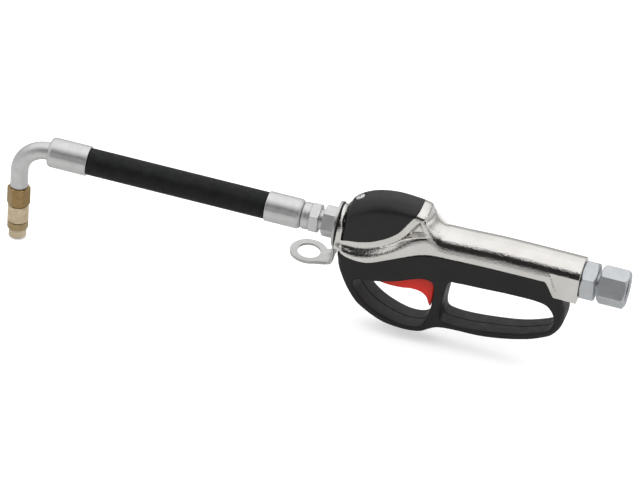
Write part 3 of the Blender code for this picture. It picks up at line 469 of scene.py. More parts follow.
def along_x(height):
    return Matrix.Translation((0.0, 0.0, height)) @ Matrix.Rotation(math.radians(90.0), 4, "Y")


ON_OUTLET = along_x(0.0)
ON_INLET = along_x(INLET_RISE)
HEX_CLOCK = Matrix.Rotation(math.radians(37.0), 4, "Z")
ON_VALVE = Matrix.Translation((VALVE_X, 0.0, 0.0))


def leg_direction():
    return at(-math.cos(BEND_ANGLE), -math.sin(BEND_ANGLE))


def tip_origin():
    bend_centre = at(BEND_START, -BEND_RADIUS)
    outward = at(-math.sin(BEND_ANGLE), math.cos(BEND_ANGLE))
    return bend_centre + BEND_RADIUS * outward + LEG_LENGTH * leg_direction()


def turned_to(direction, place):
    turn = at(0.0, 1.0).rotation_difference(direction)
    return Matrix.Translation(place) @ turn.to_matrix().to_4x4()


ON_TIP = turned_to(leg_direction(), tip_origin())
TIP_CLOCK = Matrix.Rotation(math.radians(-11.0), 4, "Z")
SCREW_LEAN = math.radians(28.0)
ON_COVER_SCREW = turned_to(at(-math.sin(SCREW_LEAN), math.cos(SCREW_LEAN)), at(13.6 * MM, 25.9 * MM))


def put(obj, place):
    """Moves a shape into the gun's axes by changing its mesh."""
    obj.data.transform(place)
    return obj


def sloped_bore(start, end, radius):
    run = end - start
    return put(rod(0.0, run.length, radius, 32), turned_to(run, start))


def across(obj, point):
    return put(obj, Matrix.Translation(point) @ Matrix.Rotation(math.radians(90.0), 4, "X"))


def stand_for(obj, node, material, slot, place=None, sharp_degrees=32.0):
    """Places a finished piece, gives it its material, and lets it stand for its CAD node."""
    obj.name = node + "_fine"
    obj.data.name = obj.name
    obj.data.materials.clear()
    obj.data.materials.append(material)
    obj.data.shade_smooth()
    obj.data.set_sharp_from_angle(angle=math.radians(sharp_degrees))
    obj.matrix_world = Matrix.Translation(ORIGIN) @ (place or Matrix.Identity(4))
    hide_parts(node)
    return obj


def carry(obj, node, material, slot, place=None, **looks):
    stand_for(obj, node, material, slot, place, **looks)
    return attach(obj, frame["nodes"][node]["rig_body"])


# ---------------------------------------------------------------- materials


def calculated(tree, operation, *values):
    """Output of a Math node; each value is a number or another node's output."""
    node = tree.nodes.new("ShaderNodeMath")
    node.operation = operation
    for socket, value in zip(node.inputs, values):
        if isinstance(value, float):
            socket.default_value = value
        else:
            tree.links.new(value, socket)
    return node.outputs["Value"]


class Look:
    """A Principled material with small helpers for its procedural texture."""

    def __init__(self, name, color, roughness, metallic):
        self.material = bpy.data.materials.new(name)
        self.material.use_nodes = True
        self.nodes = self.material.node_tree.nodes
        self.links = self.material.node_tree.links
        self.shader = self.nodes["Principled BSDF"]
        self.shader.inputs["Base Color"].default_value = (*color, 1.0)
        self.shader.inputs["Roughness"].default_value = roughness
        self.shader.inputs["Metallic"].default_value = metallic
        self.place = self.nodes.new("ShaderNodeTexCoord")
        self.material.diffuse_color = (*color, 1.0)

    def noise(self, scale, detail=3.0, stretch=(1.0, 1.0, 1.0)):
        """Noise whose scale counts features per metre."""
        mapping = self.nodes.new("ShaderNodeMapping")
        mapping.inputs["Scale"].default_value = stretch
        noise = self.nodes.new("ShaderNodeTexNoise")
        noise.inputs["Scale"].default_value = scale
        noise.inputs["Detail"].default_value = detail
        self.links.new(self.place.outputs["Object"], mapping.inputs["Vector"])
        self.links.new(mapping.outputs["Vector"], noise.inputs["Vector"])
        return noise.outputs["Fac"]

    def axes(self):
        """X, Y and Z of the piece's own place."""
        split = self.nodes.new("ShaderNodeSeparateXYZ")
        self.links.new(self.place.outputs["Object"], split.inputs["Vector"])
        return split.outputs

    def spread(self, value, low, high, start=0.35, end=0.65):
        """Maps a value between start and end onto low to high."""
        node = self.nodes.new("ShaderNodeMapRange")
        node.inputs["From Min"].default_value = start
        node.inputs["From Max"].default_value = end
        node.inputs["To Min"].default_value = low
        node.inputs["To Max"].default_value = high
        self.links.new(value, node.inputs["Value"])
        return node.outputs["Result"]

    def mix(self, share, first, second):
        node = self.nodes.new("ShaderNodeMix")
        node.data_type = "RGBA"
        for socket, value in (("A", first), ("B", second)):
            target = next(s for s in node.inputs if s.name == socket and s.type == "RGBA")
            if isinstance(value, tuple):
                target.default_value = (*value, 1.0)
            else:
                self.links.new(value, target)
        self.links.new(share, node.inputs["Factor"])
        return next(s for s in node.outputs if s.type == "RGBA")

    def edges(self, low, high, start, end):
        """From low to high as the surface turns from start to end: 0.5 is flat, and more is an outer edge."""
        geometry = self.nodes.new("ShaderNodeNewGeometry")
        return self.spread(geometry.outputs["Pointiness"], low, high, start, end)

    def bump(self, height, depth, previous=None):
        node = self.nodes.new("ShaderNodeBump")
        node.inputs["Distance"].default_value = depth
        node.inputs["Strength"].default_value = 1.0
        self.links.new(height, node.inputs["Height"])
        if previous is not None:
            self.links.new(previous, node.inputs["Normal"])
        return node.outputs["Normal"]

    def set(self, socket, value):
        self.links.new(value, self.shader.inputs[socket])


def nickel_look():
    """Bright nickel plate over a lightly pebbled casting, with painted shade that darkens its concave hollows
    and creases.
    """
    look = Look("nickel_plate", (0.88, 0.86, 0.83), 0.10, 1.0)
    cloud = look.noise(60.0, 4.0)
    plate = look.mix(look.spread(cloud, 0.0, 1.0), (0.90, 0.88, 0.85), (0.84, 0.815, 0.78))
    # Painted shade: concave hollows and creases are mixed toward a dark brownish grey.
    painted_hollow_shade = look.edges(1.0, 0.0, 0.40, 0.488)
    look.set("Base Color", look.mix(painted_hollow_shade, plate, (0.40, 0.37, 0.33)))
    look.set("Roughness", look.spread(look.noise(240.0, 5.0), 0.06, 0.15))
    pebble = look.bump(look.noise(700.0, 2.0), 0.16 * MM)
    look.set("Normal", look.bump(look.noise(2400.0, 2.0), 0.02 * MM, pebble))
    return look.material


def zinc_look(name, color, roughness, depth):
    """Zinc plate with a mottled sheen and fine turning marks around z."""
    look = Look(name, color, roughness, 1.0)
    dull = tuple(0.93 * c for c in color)
    look.set("Base Color", look.mix(look.spread(look.noise(170.0, 5.0), 0.0, 1.0), color, dull))
    look.set("Roughness", look.spread(look.noise(300.0, 3.0), roughness - 0.04, roughness + 0.06))
    marks = look.bump(look.noise(260.0, 2.0, (1.0, 1.0, 0.12)), depth)
    look.set("Normal", look.bump(look.noise(420.0, 2.0), 0.25 * depth, marks))
    return look.material


def brass_look(name, color, roughness, painted_reflection_color=None):
    """Turned brass, darker where it has tarnished. If a second colour is given, it is a painted reflection:
    that lighter colour below the nozzle's shoulder.
    """
    look = Look(name, color, roughness, 1.0)
    dull = (0.66 * color[0], 0.58 * color[1], 0.46 * color[2])
    tint = look.mix(look.spread(look.noise(230.0, 5.0), 0.0, 0.55), color, dull)
    if painted_reflection_color:
        # Painted reflection: the piece takes the given lighter colour below the nozzle's shoulder and keeps
        # the darker one above it.
        below = look.spread(look.axes()["Z"], 0.0, 1.0, NOZZLE_SHOULDER - GAP, NOZZLE_SHOULDER + GAP)
        tint = look.mix(below, tint, painted_reflection_color)
    look.set("Base Color", tint)
    look.set("Roughness", look.spread(look.noise(600.0, 3.0), roughness - 0.05, roughness + 0.08))
    marks = look.bump(look.noise(500.0, 2.0, (0.2, 0.2, 5.0)), 0.003 * MM)
    look.set("Normal", marks)
    return look.material


def moulding_look(name, color, worn, roughness, grain, specular):
    """Moulded plastic: fine spark-eroded grain, slight clouding, and edges rubbed lighter."""
    look = Look(name, color, roughness, 0.0)
    cloudy = look.mix(look.spread(look.noise(45.0, 4.0), 0.0, 1.0), color, tuple(0.8 * c for c in color))
    look.set("Base Color", look.mix(look.edges(0.0, 1.0, 0.53, 0.62), cloudy, worn))
    look.set("Roughness", look.spread(look.noise(160.0, 5.0), roughness - 0.05, roughness + 0.07))
    coarse = look.bump(look.noise(1500.0, 2.0), grain)
    look.set("Normal", look.bump(look.noise(5200.0, 2.0), 0.4 * grain, coarse))
    look.shader.inputs["Specular IOR Level"].default_value = specular
    return look.material


WRAP_PITCH = 9.0 * MM
WEAVE_ALONG = 5200.0
WEAVE_AROUND = 56.0


def hose_look():
    """Smooth black rubber cover with the faint helical print of its curing wrap."""
    look = Look("hose_cover", (0.0105, 0.0115, 0.011), 0.52, 0.0)
    place = look.axes()
    calculate = functools.partial(calculated, look.material.node_tree)
    height = calculate("SUBTRACT", place["Z"], ORIGIN.z)
    turn = calculate("ARCTAN2", place["Y"], height)
    run = calculate("MULTIPLY", place["X"], 2.0 * math.pi / WRAP_PITCH)
    seam = look.spread(calculate("SINE", calculate("ADD", run, turn)), 0.0, 1.0, 0.93, 1.0)
    along = calculate("SINE", calculate("MULTIPLY", place["X"], WEAVE_ALONG))
    around = calculate("SINE", calculate("MULTIPLY", turn, WEAVE_AROUND))
    weave = calculate("MULTIPLY", along, around)
    cloud = look.spread(look.noise(140.0, 5.0), 0.0, 1.0)
    look.set("Base Color", look.mix(cloud, (0.0032, 0.0038, 0.0036), (0.0062, 0.0070, 0.0066)))
    look.shader.inputs["Specular IOR Level"].default_value = 0.28
    look.set("Roughness", look.spread(look.noise(300.0, 4.0), 0.46, 0.62))
    rough = look.bump(look.noise(2200.0, 3.0), 0.035 * MM)
    woven = look.bump(weave, 0.02 * MM, rough)
    look.set("Normal", look.bump(seam, 0.05 * MM, woven))
    return look.material


def rubber_look():
    look = Look("seal_rubber_look", (0.018, 0.018, 0.018), 0.55, 0.0)
    look.set("Roughness", look.spread(look.noise(500.0), 0.45, 0.65))
    look.set("Normal", look.bump(look.noise(1800.0), 0.01 * MM))
    return look.material


NICKEL = nickel_look()
ZINC = zinc_look("zinc_bright", (0.82, 0.82, 0.82), 0.44, 0.012 * MM)
ZINC_BLUE = zinc_look("zinc_blue", (0.73, 0.755, 0.78), 0.43, 0.008 * MM)
PLATE_ZINC = zinc_look("zinc_sheet", (0.70, 0.70, 0.69), 0.36, 0.008 * MM)
STEEL = zinc_look("plain_steel", (0.56, 0.57, 0.58), 0.30, 0.01 * MM)
BRASS = brass_look("brass_hexagon", (0.44, 0.305, 0.135), 0.17)
BRASS_SATIN = brass_look("brass_sleeve", (0.90, 0.76, 0.55), 0.32)
# The nozzle's darker band above its shoulder and lighter end below it are a painted reflection.
BRASS_NOZZLE = brass_look("brass_nozzle", (0.58, 0.45, 0.26), 0.24, (0.88, 0.74, 0.53))
CHARCOAL = moulding_look("charcoal_plastic", (0.0118, 0.0118, 0.0115), (0.026, 0.026, 0.0255),
                         roughness=0.42, grain=0.010 * MM, specular=0.34)
COVER_CHARCOAL = moulding_look("charcoal_cover", (0.0100, 0.0100, 0.0098), (0.024, 0.024, 0.0235),
                               roughness=0.36, grain=0.006 * MM, specular=0.46)
RED = moulding_look("red_plastic_look", (0.74, 0.026, 0.013), (0.80, 0.06, 0.035),
                    roughness=0.38, grain=0.006 * MM, specular=0.35)
HOSE_RUBBER = hose_look()
SEAL = rubber_look()


# ---------------------------------------------------------------- casting and cover

STATION = 0.8 * MM
ROWS = 92
CROWN_SHARE = 3.0 / 8.0
UPPER_TURN = 0.8
UPPER_STEPS = 80
SHOULDER_STEPS = 30
LOWER_STEPS = 16
SHELF_SHARE = 0.6
PASSES_AROUND = 8
PASSES_ALONG = 3


def ledge_height(x):
    """Height of the lower edge of the casting's sides, where the guard begins."""
    return min(curve(BODY_LEDGE, x), curve(BODY_WIDEST, x) - 0.4 * MM)


def half_outline(x):
    """Half outline of the casting and cover at x as (y, z), from the top middle down to the ledge: the crown
    and side that the cover shares, the shelf below, and the lower body that stands out past the cover."""
    top = curve(BODY_TOP, x)
    half = curve(BODY_HALF_WIDTH, x)
    widest = curve(BODY_WIDEST, x)
    ledge = ledge_height(x)
    foot_y = half - curve(SHOULDER_REACH, x)
    foot_z = curve(SHELF_FOOT, x)
    crease_y = min(curve(CREASE_Y, x), 0.86 * foot_y)
    crease_z = top - curve(CREASE_DROP, x)
    head = 1.0 - float(ease(x, COLLAR_END, HANDLE_START))
    round_shoulder = float(ease(x, 46.0 * MM, 66.0 * MM))
    grooved = float(ease(x, 5.0 * MM, 17.0 * MM))
    crown_power = 2.2 + 0.8 * grooved
    points = []
    for k in range(UPPER_STEPS + 1):
        share = k / UPPER_STEPS
        angle = 0.5 * math.pi * UPPER_TURN * share
        if share < CROWN_SHARE:
            y = crease_y * share / CROWN_SHARE
            z = top - (top - crease_z) * (y / crease_y) ** crown_power
        else:
            t = (share - CROWN_SHARE) / (1.0 - CROWN_SHARE)
            side_z = crease_z - 0.42 * (crease_z - foot_z)
            groove_y = crease_y + 0.8 * (foot_y - crease_y)
            groove_z = crease_z + (1.0 - grooved) * (side_z - crease_z) / 1.5 - grooved * (0.3 * MM)
            y = (1 - t) ** 3 * crease_y + 3 * t * (1 - t) ** 2 * groove_y + (3 - 2 * t) * t * t * foot_y
            z = ((1 - t) ** 3 * crease_z + 3 * t * (1 - t) ** 2 * groove_z + 3 * t * t * (1 - t) * side_z
                 + t ** 3 * foot_z)
        points.append((y, z, angle))
    corner_y, corner_z = half - 0.3 * MM, curve(SHOULDER_LINE, x)
    for k in range(1, SHOULDER_STEPS + 1):
        share = k / SHOULDER_STEPS
        angle = 0.5 * math.pi * (UPPER_TURN + (1.0 - UPPER_TURN) * share)
        if share < SHELF_SHARE:
            t = share / SHELF_SHARE
            y, z = foot_y + (corner_y - foot_y) * t, foot_z + (corner_z - foot_z) * t
        else:
            t = (share - SHELF_SHARE) / (1.0 - SHELF_SHARE)
            y, z = corner_y + (half - corner_y) * t, corner_z + (widest - corner_z) * t
        bulge_y = foot_y + (half - foot_y) * math.sin(0.5 * math.pi * share)
        bulge_z = widest + (foot_z - widest) * math.cos(0.5 * math.pi * share)
        y += (bulge_y - y) * round_shoulder
        z += (bulge_z - z) * round_shoulder
        points.append((y, z, angle))
    outline = []
    for y, z, angle in points:
        y_round, z_round = half * math.sin(angle), widest + (top - widest) * math.cos(angle)
        outline.append((head * y + (1.0 - head) * y_round, head * z + (1.0 - head) * z_round))
    lower_y = half - (1.2 * MM) * float(ease(widest - ledge, 0.0, 12.0 * MM))
    middle = 0.5 * (widest + ledge)
    for k in range(1, LOWER_STEPS + 1):
        t = k / LOWER_STEPS
        outline.append((arc_point(t, half, half, lower_y), arc_point(t, widest, middle, ledge)))
    return outline


def resampled(points, shares):
    flat = np.array(points)
    arc = np.concatenate([[0.0], np.cumsum(np.hypot(*np.diff(flat, axis=0).T))])
    return np.stack([np.interp(shares, arc / arc[-1], flat[:, k]) for k in range(2)], 1)


def softened(values, passes):
    """Averages each row of an array with its neighbours, keeping its first and last rows."""
    for _ in range(passes):
        inner = 0.25 * values[:-2] + 0.5 * values[1:-1] + 0.25 * values[2:]
        values = np.concatenate([values[:1], inner, values[-1:]])
    return values


def body_rings(start, end):
    """Smooth full rings of the casting and cover together, as an array of stations by points by (x, y, z)."""
    count = round(BODY_LENGTH / STATION)
    xs = np.linspace(0.0, BODY_LENGTH, count + 1)
    shares = np.linspace(0.0, 1.0, ROWS)
    halves = np.array([resampled(half_outline(x), shares) for x in xs])
    mirrored = halves[:, :0:-1] * np.array((-1.0, 1.0))
    full = np.concatenate([mirrored, halves], axis=1)
    full = np.transpose(softened(np.transpose(full, (1, 0, 2)), PASSES_AROUND), (1, 0, 2))
    full = softened(full, PASSES_ALONG)
    ledge = np.array([ledge_height(x) for x in xs])
    full[:, 0, 1] = ledge
    full[:, -1, 1] = ledge
    rings = np.concatenate([np.broadcast_to(xs[:, None, None], full.shape[:2] + (1,)), full], axis=2)
    keep = (xs > start - 0.5 * STATION) & (xs < end + 0.5 * STATION)
    rings = rings[keep].copy()
    rings[0, :, 0] = start
    rings[-1, :, 0] = end
    return rings


def with_end_rings(rings, radius, at_end=True, steps=5):
    """Adds rings close to the start, and to the end too if wanted, for a rounded edge there."""
    extra = [radius * (1.0 - math.cos(0.5 * math.pi * k / steps)) for k in range(1, steps)]
    xs = rings[:, 0, 0]
    steps_in = extra + [radius]
    wanted = {x for x in xs if x == xs[0] or x > xs[0] + radius} | {xs[0] + e for e in steps_in}
    if at_end:
        wanted = {x for x in wanted if x == xs[-1] or x < xs[-1] - radius} | {xs[-1] - e for e in steps_in}
    result = []
    for x in sorted(wanted):
        k = min(max(int(np.searchsorted(xs, x)), 1), len(xs) - 1)
        t = (x - xs[k - 1]) / (xs[k] - xs[k - 1])
        result.append(rings[k - 1] * (1 - t) + rings[k] * t)
    return np.array(result)


def ring_normals(rings):
    """Outward normals of a body made of rings."""
    along = np.gradient(rings, axis=0)
    around = np.gradient(rings, axis=1)
    normals = np.cross(along, around)
    normals /= np.linalg.norm(normals, axis=2, keepdims=True) + 1e-12
    middle = rings.mean(axis=1, keepdims=True)
    outward = np.sign(((rings - middle) * normals).sum(axis=2, keepdims=True))
    flip = -1.0 if np.median(outward) < 0 else 1.0
    return normals * flip


def side_distance(rings, line):
    """Signed distance in the side view from a line of (x, z) points, positive on its right as it runs."""
    points = np.stack([rings[..., 0], rings[..., 2]], -1)[..., None, :]
    line = np.array(line)
    a, b = line[:-1], line[1:]
    run = b - a
    t = np.clip(((points - a) * run).sum(-1) / (run ** 2).sum(-1), 0.0, 1.0)
    gap = points - (a + t[..., None] * run)
    distance = np.linalg.norm(gap, axis=-1)
    nearest = distance.argmin(-1)[..., None]
    turn = run[..., 0] * gap[..., 1] - run[..., 1] * gap[..., 0]
    near_turn = np.take_along_axis(turn, nearest, -1)[..., 0]
    return np.take_along_axis(distance, nearest, -1)[..., 0] * np.where(near_turn < 0, 1.0, -1.0)


def rounding(distance, radius):
    """How far a rounded edge lies inside the sharp one at a distance from it."""
    t = np.clip(distance / radius, 0.0, 1.0)
    return radius * (1.0 - np.sqrt(np.maximum(1.0 - (1.0 - t) ** 2, 0.0)))


def cover_edge_line():
    edge = smooth_loop(COVER_EDGE, 8, closed=False)
    before = (edge[0][0] - 12.0 * MM, edge[0][1] - 3.0 * MM)
    after = (edge[-1][0] + 0.5 * MM, edge[-1][1] + 10.0 * MM)
    return [before] + edge + [after]


def casting_offsets(rings):
    """How far the casting's features lie inside the smooth body."""
    x, y, z = rings[..., 0], np.abs(rings[..., 1]), rings[..., 2]
    past_edge = side_distance(rings, cover_edge_line())
    width = RIM_WIDTH + (RIM_WIDTH_ON_TOP - RIM_WIDTH) * ease(z, 25.0 * MM, 32.0 * MM)
    beyond = past_edge - width
    inside = RIM_STEP * ease(beyond, 0.0, 0.6 * MM) * (1.0 - ease(beyond, 0.8 * MM, 9.0 * MM))
    foot = np.array([curve(SHELF_FOOT, station) for station in x[:, 0]])[:, None]
    floor = z - foot
    inside *= ease(x, 5.2 * MM, 7.0 * MM) * ease(floor, -0.6 * MM, 0.6 * MM)
    ridge = side_distance(rings, smooth_loop(RECESS_RIDGE, 6, closed=False))
    recess = np.minimum(np.minimum(beyond, floor), ridge)
    inside = inside + RECESS_DEPTH * ease(recess, -0.3 * MM, 2.8 * MM) * (1.0 - ease(x, 76 * MM, 80 * MM))
    crease = -side_distance(rings, smooth_loop(NECK_CREASE, 6, closed=False))
    fade = (1.0 - ease(x, 79.0 * MM, 86.0 * MM)) * (1.0 - ease(z, 28.0 * MM, 32.5 * MM))
    fade = fade * ease(z, 12.0 * MM, 17.0 * MM)
    sunk = CREASE_DEPTH * ease(crease, -0.3 * MM, 0.5 * MM) * (1.0 - ease(crease, 0.8 * MM, 7.0 * MM))
    return inside + sunk * fade


def loft_of(rings):
    return lofted([[tuple(p) for p in ring] for ring in rings])


def build_casting():
    rings = with_end_rings(body_rings(0.0, BODY_LENGTH), EDGE_RADIUS)
    ends = np.minimum(rings[..., 0], BODY_LENGTH - rings[..., 0])
    offsets = casting_offsets(rings) + rounding(ends, EDGE_RADIUS)
    normals = ring_normals(rings)
    normals[..., 0] *= np.where(ends > EDGE_RADIUS, 1.0, 0.0)
    rings = rings - offsets[..., None] * normals
    on_pad = ease(side_distance(rings, list(reversed(PAD_EDGE))), -0.2 * MM, 0.5 * MM)
    limit = PAD_HALF_WIDTH + (HANDLE_RADIUS + 1.0 * MM - PAD_HALF_WIDTH) * (1.0 - on_pad)
    limit = np.where(rings[..., 0] < 160.0 * MM, 1.0, limit)
    rings[..., 1] = np.clip(rings[..., 1], -limit, limit)
    xs = rings[:, 0, 0]
    spare = (xs > 90.0 * MM) & (xs < 162.0 * MM) & (np.arange(len(xs)) % 3 != 0)
    casting = loft_of(rings[~spare])
    combine(casting, cover_zone(0.0, COVER_FRONT))
    boss = put(rod(2.0 * MM, 16.0 * MM, OUTLET_BOSS_RADIUS), ON_OUTLET)
    combine(casting, united([rib(), core(), boss]), "UNION")
    combine(casting, united(casting_passages()))
    return casting


def cover_zone(clearance, front):
    """Prism that holds everything above the cover's lower edge, from a front plane."""
    edge = smooth_loop(COVER_EDGE, 8, closed=False)
    lowered = [(x - clearance, z + clearance) for x, z in edge]
    top = 50.0 * MM
    outline = lowered + [(lowered[-1][0], top), (front, top)]
    outline[0] = (front, lowered[0][1])
    return extruded(outline, -30.0 * MM, 30.0 * MM)


def rib():
    return box((RIB_START, -RIB_HALF_WIDTH, RIB_BOTTOM), (RIB_END, RIB_HALF_WIDTH, INLET_RISE + 4.0 * MM))


def shrunk_body(start, end, inset):
    rings = body_rings(start, end)
    normals = ring_normals(rings)
    normals[..., 0] = 0.0
    return loft_of((rings - inset * normals)[::3, ::3])


def core():
    """Solid part of the head under the cover, around the valve chamber."""
    block = shrunk_body(RIB_START + 1.0 * MM, 59.0 * MM, CORE_INSET)
    keep = box((RIB_START, -30.0 * MM, -4.0 * MM), (58.5 * MM, 30.0 * MM, CORE_TOP))
    return combine(block, keep, "INTERSECT")


def casting_passages():
    inlet_end = at(VALVE_X + 5.0 * MM, 10.0 * MM)
    outlet_end = at(VALVE_X - 4.0 * MM, -2.2 * MM)
    cutters = [
        put(rod(0.7 * MM, 45.0 * MM, CHAMBER_RADIUS), ON_VALVE),
        put(rod(-4.7 * MM, 1.5 * MM, 6.5 * MM), ON_VALVE),
        put(rod(-20.0 * MM, -3.0 * MM, 6.3 * MM), ON_VALVE),
        sloped_bore(at(180.0 * MM, INLET_RISE), inlet_end, 4.5 * MM),
        sloped_bore(at(11.0 * MM, 0.0), outlet_end, 3.2 * MM),
        put(rod(-2.0 * MM, 13.0 * MM, THREAD_RADIUS + GAP), ON_OUTLET),
        put(rod(177.5 * MM, BODY_LENGTH + 2.0 * MM, THREAD_RADIUS + GAP), ON_INLET),
        box((14.0 * MM, -SLOT_HALF_WIDTH, -30.0 * MM), (SLOT_END, SLOT_HALF_WIDTH, RIB_BOTTOM - GAP)),
        put(rod(-0.9 * MM, 20.0 * MM, 6.7 * MM), ON_COVER_SCREW),
        put(rod(-14.0 * MM, 5.0 * MM, SCREW_HOLE), ON_COVER_SCREW),
    ]
    for x in GUARD_SCREW_X:
        cutters.append(put(rod(-20.0 * MM, -2.0 * MM, SCREW_HOLE), Matrix.Translation((x, 0.0, 0.0))))
    return cutters


def build_top_cover():
    radius = COVER_EDGE_RADIUS
    rings = with_end_rings(body_rings(COVER_FRONT + GAP, 66.0 * MM), radius, at_end=False)
    normals = ring_normals(rings)
    front = rings[..., 0] - rings[0, 0, 0]
    normals[..., 0] *= np.where(front > radius, 1.0, 0.0)
    rings = rings - (rounding(front, radius) + 0.05 * MM)[..., None] * normals
    cover = loft_of(rings)
    combine(cover, cover_zone(GAP, COVER_FRONT - 2.0 * MM), "INTERSECT")
    combine(cover, shrunk_body(COVER_FRONT + COVER_WALL, 62.0 * MM, COVER_WALL))
    combine(cover, put(rod(0.0, 12.0 * MM, OUTLET_BOSS_RADIUS + GAP), ON_OUTLET))
    combine(cover, put(rod(-0.6 * MM, 2.0 * MM, 6.2 * MM), ON_COVER_SCREW), "UNION")
    pocket = spun(fillet(mm((1.4, 0), (1.4, 5.1), (20, 5.4), (20, 0)), 0.1 * MM))
    combine(cover, put(pocket, ON_COVER_SCREW))
    combine(cover, put(rod(-4.0 * MM, 10.0 * MM, 2.4 * MM), ON_COVER_SCREW))
    return cover


def build_cover_screw():
    profile = mm((-12, 0), (-12, 1.9), (1.7, 1.9), (1.7, 4.2), (3.4, 3.9), (4.2, 2.6), (4.4, 0))
    screw = spun(fillet(profile, 0.5 * MM))
    for turn in (20.0, 110.0):
        slot = box((-2.5 * MM, -0.5 * MM, 2.6 * MM), (2.5 * MM, 0.5 * MM, 6.0 * MM))
        combine(screw, put(slot, Matrix.Rotation(math.radians(turn), 4, "Z")))
    return screw


# ---------------------------------------------------------------- guard and trigger


def guard_half_width(x, z):
    return GUARD_WIDTH_AT_ORIGIN + GUARD_DRAFT_X * x + GUARD_DRAFT_Z * z


def loop_normals(loop):
    """Unit normals of a closed (x, z) loop, on the left as it runs."""
    points = np.array(loop)
    run = np.roll(points, -1, axis=0) - np.roll(points, 1, axis=0)
    run /= np.linalg.norm(run, axis=1, keepdims=True)
    return np.stack([-run[:, 1], run[:, 0]], 1)


def loop_area(loop):
    points = np.array(loop)
    following = np.roll(points, -1, axis=0)
    return 0.5 * float((points[:, 0] * following[:, 1] - following[:, 0] * points[:, 1]).sum())


def moulding(loops, half_width, radii, grooves, steps=5):
    """Flat-sided moulding from closed (x, z) loops, the first one outside. Each loop's edges are rounded by
    its radius at each point, and its wall carries a mould line if its groove depth isn't 0."""
    bm = bmesh.new()
    rims = {-1.0: [], 1.0: []}
    for index, loop in enumerate(loops):
        points = np.array(loop)
        into = loop_normals(loop) * (1.0 if loop_area(loop) > 0 else -1.0) * (1.0 if index == 0 else -1.0)
        size = np.array([radii[index](x, z) for x, z in loop])
        rows = []
        for side in (-1.0, 1.0):
            turns = [0.5 * math.pi * k / steps for k in range(steps + 1)]
            for turn in (reversed(turns) if side < 0 else turns):
                moved = points + into * (size * (1.0 - math.cos(turn)))[:, None]
                across_y = np.array([half_width(x, z) for x, z in moved]) - size * (1.0 - math.sin(turn))
                rows.append([(x, side * y, z) for (x, z), y in zip(moved, across_y)])
            if side < 0 and grooves[index] > 0.0:
                for y, share in ((-0.7 * MM, 0.0), (-0.25 * MM, 1.0), (0.25 * MM, 1.0), (0.7 * MM, 0.0)):
                    dug = points + into * grooves[index] * share
                    rows.append([(x, y, z) for x, z in dug])
        verts = skinned(bm, rows)
        count = len(loop)
        for side, row in ((-1.0, verts[0]), (1.0, verts[-1])):
            rims[side] += [bm.edges.get((row[k], row[(k + 1) % count])) for k in range(count)]
    for side in (-1.0, 1.0):
        bmesh.ops.triangle_fill(bm, use_beauty=True, use_dissolve=False, edges=rims[side])
    return object_from(bm)


def guard_loops():
    outer = smooth_loop(GUARD_OUTER, 8, closed=False)
    start, end = GUARD_OUTER[0][0], GUARD_OUTER[-1][0]
    count = 110
    xs = [end + (start - end) * k / count for k in range(1, count)]
    top = [(x, ledge_height(x) - GAP) for x in xs]
    return [outer + top, smooth_loop(FRONT_OPENING, 8), smooth_loop(REAR_OPENING, 8)]


def guard_outer_radius(x, z):
    """Small along the casting and on the slim lower bars, and large round the front and rear."""
    below_casting = ledge_height(x) - GAP - z
    largest = 1.9 * MM + 3.6 * MM * float(ease(x, 160.0 * MM, 180.0 * MM))
    largest += 2.2 * MM * (1.0 - float(ease(x, 8.0 * MM, 26.0 * MM)))
    return 0.35 * MM + (largest - 0.35 * MM) * float(ease(below_casting, 0.5 * MM, 9.0 * MM))


def opening_radius(x, z):
    return 1.5 * MM


def build_guard():
    radii = [guard_outer_radius, opening_radius, opening_radius]
    guard = moulding(guard_loops(), guard_half_width, radii, [0.35 * MM, 0.4 * MM, 0.4 * MM])
    cutters = [
        box((RIB_START - GAP, -RIB_HALF_WIDTH - GAP, RIB_BOTTOM - GAP),
            (RIB_END + GAP, RIB_HALF_WIDTH + GAP, 40.0 * MM)),
        box((15.0 * MM, -SLOT_HALF_WIDTH, -35.0 * MM), (SLOT_END, SLOT_HALF_WIDTH, 0.0)),
        box((78.0 * MM, -SLOT_HALF_WIDTH, -50.0 * MM), (SLOT_END, SLOT_HALF_WIDTH, -30.0 * MM)),
        across(rod(-13.0 * MM, 13.0 * MM, PIN_RADIUS), PIVOT),
    ]
    for x in GUARD_SCREW_X:
        hole = spun(mm((-30, 0), (-30, 4.2), (-14.4, 4.2), (-14.4, 2.2), (-5, 2.2), (-5, 0)))
        cutters.append(put(hole, Matrix.Translation((x, 0.0, 0.0))))
    return combine(guard, united(cutters))


def build_trigger():
    outline = smooth_loop(TRIGGER_TOP, 8, closed=False) + smooth_loop(TRIGGER_LOWER, 8, closed=False)
    trigger = moulding([outline], lambda x, z: TRIGGER_HALF_WIDTH, [lambda x, z: 1.2 * MM], [0.0])
    return combine(trigger, across(rod(-20.0 * MM, 20.0 * MM, PIN_RADIUS), PIVOT))


# ---------------------------------------------------------------- fittings


def threads(start, end, crest, root, pitch):
    """Zigzag of (height, radius) points between two heights."""
    count = max(1, round(abs(end - start) / pitch))
    step = (end - start) / count
    points = []
    for k in range(count):
        points += [(start + step * k, crest), (start + step * (k + 0.5), root)]
    return points + [(end, crest)]


def hex_ends(start, end, across_flats, chamfer):
    """Profile of a hexagon whose corners are turned down at both ends."""
    corner = across_flats / math.sqrt(3.0)
    face = 0.485 * across_flats
    run = chamfer * (corner - face) / (corner - 0.5 * across_flats)
    return [(start, face), (start + run, corner + 0.1 * MM), (end - run, corner + 0.1 * MM), (end, face)]


def bored(outline, bore):
    """Closed profile from an outer outline and a bore, both given with rising heights."""
    return refined(outline, 0.4 * MM) + refined(list(reversed(bore)), 1.5 * MM)


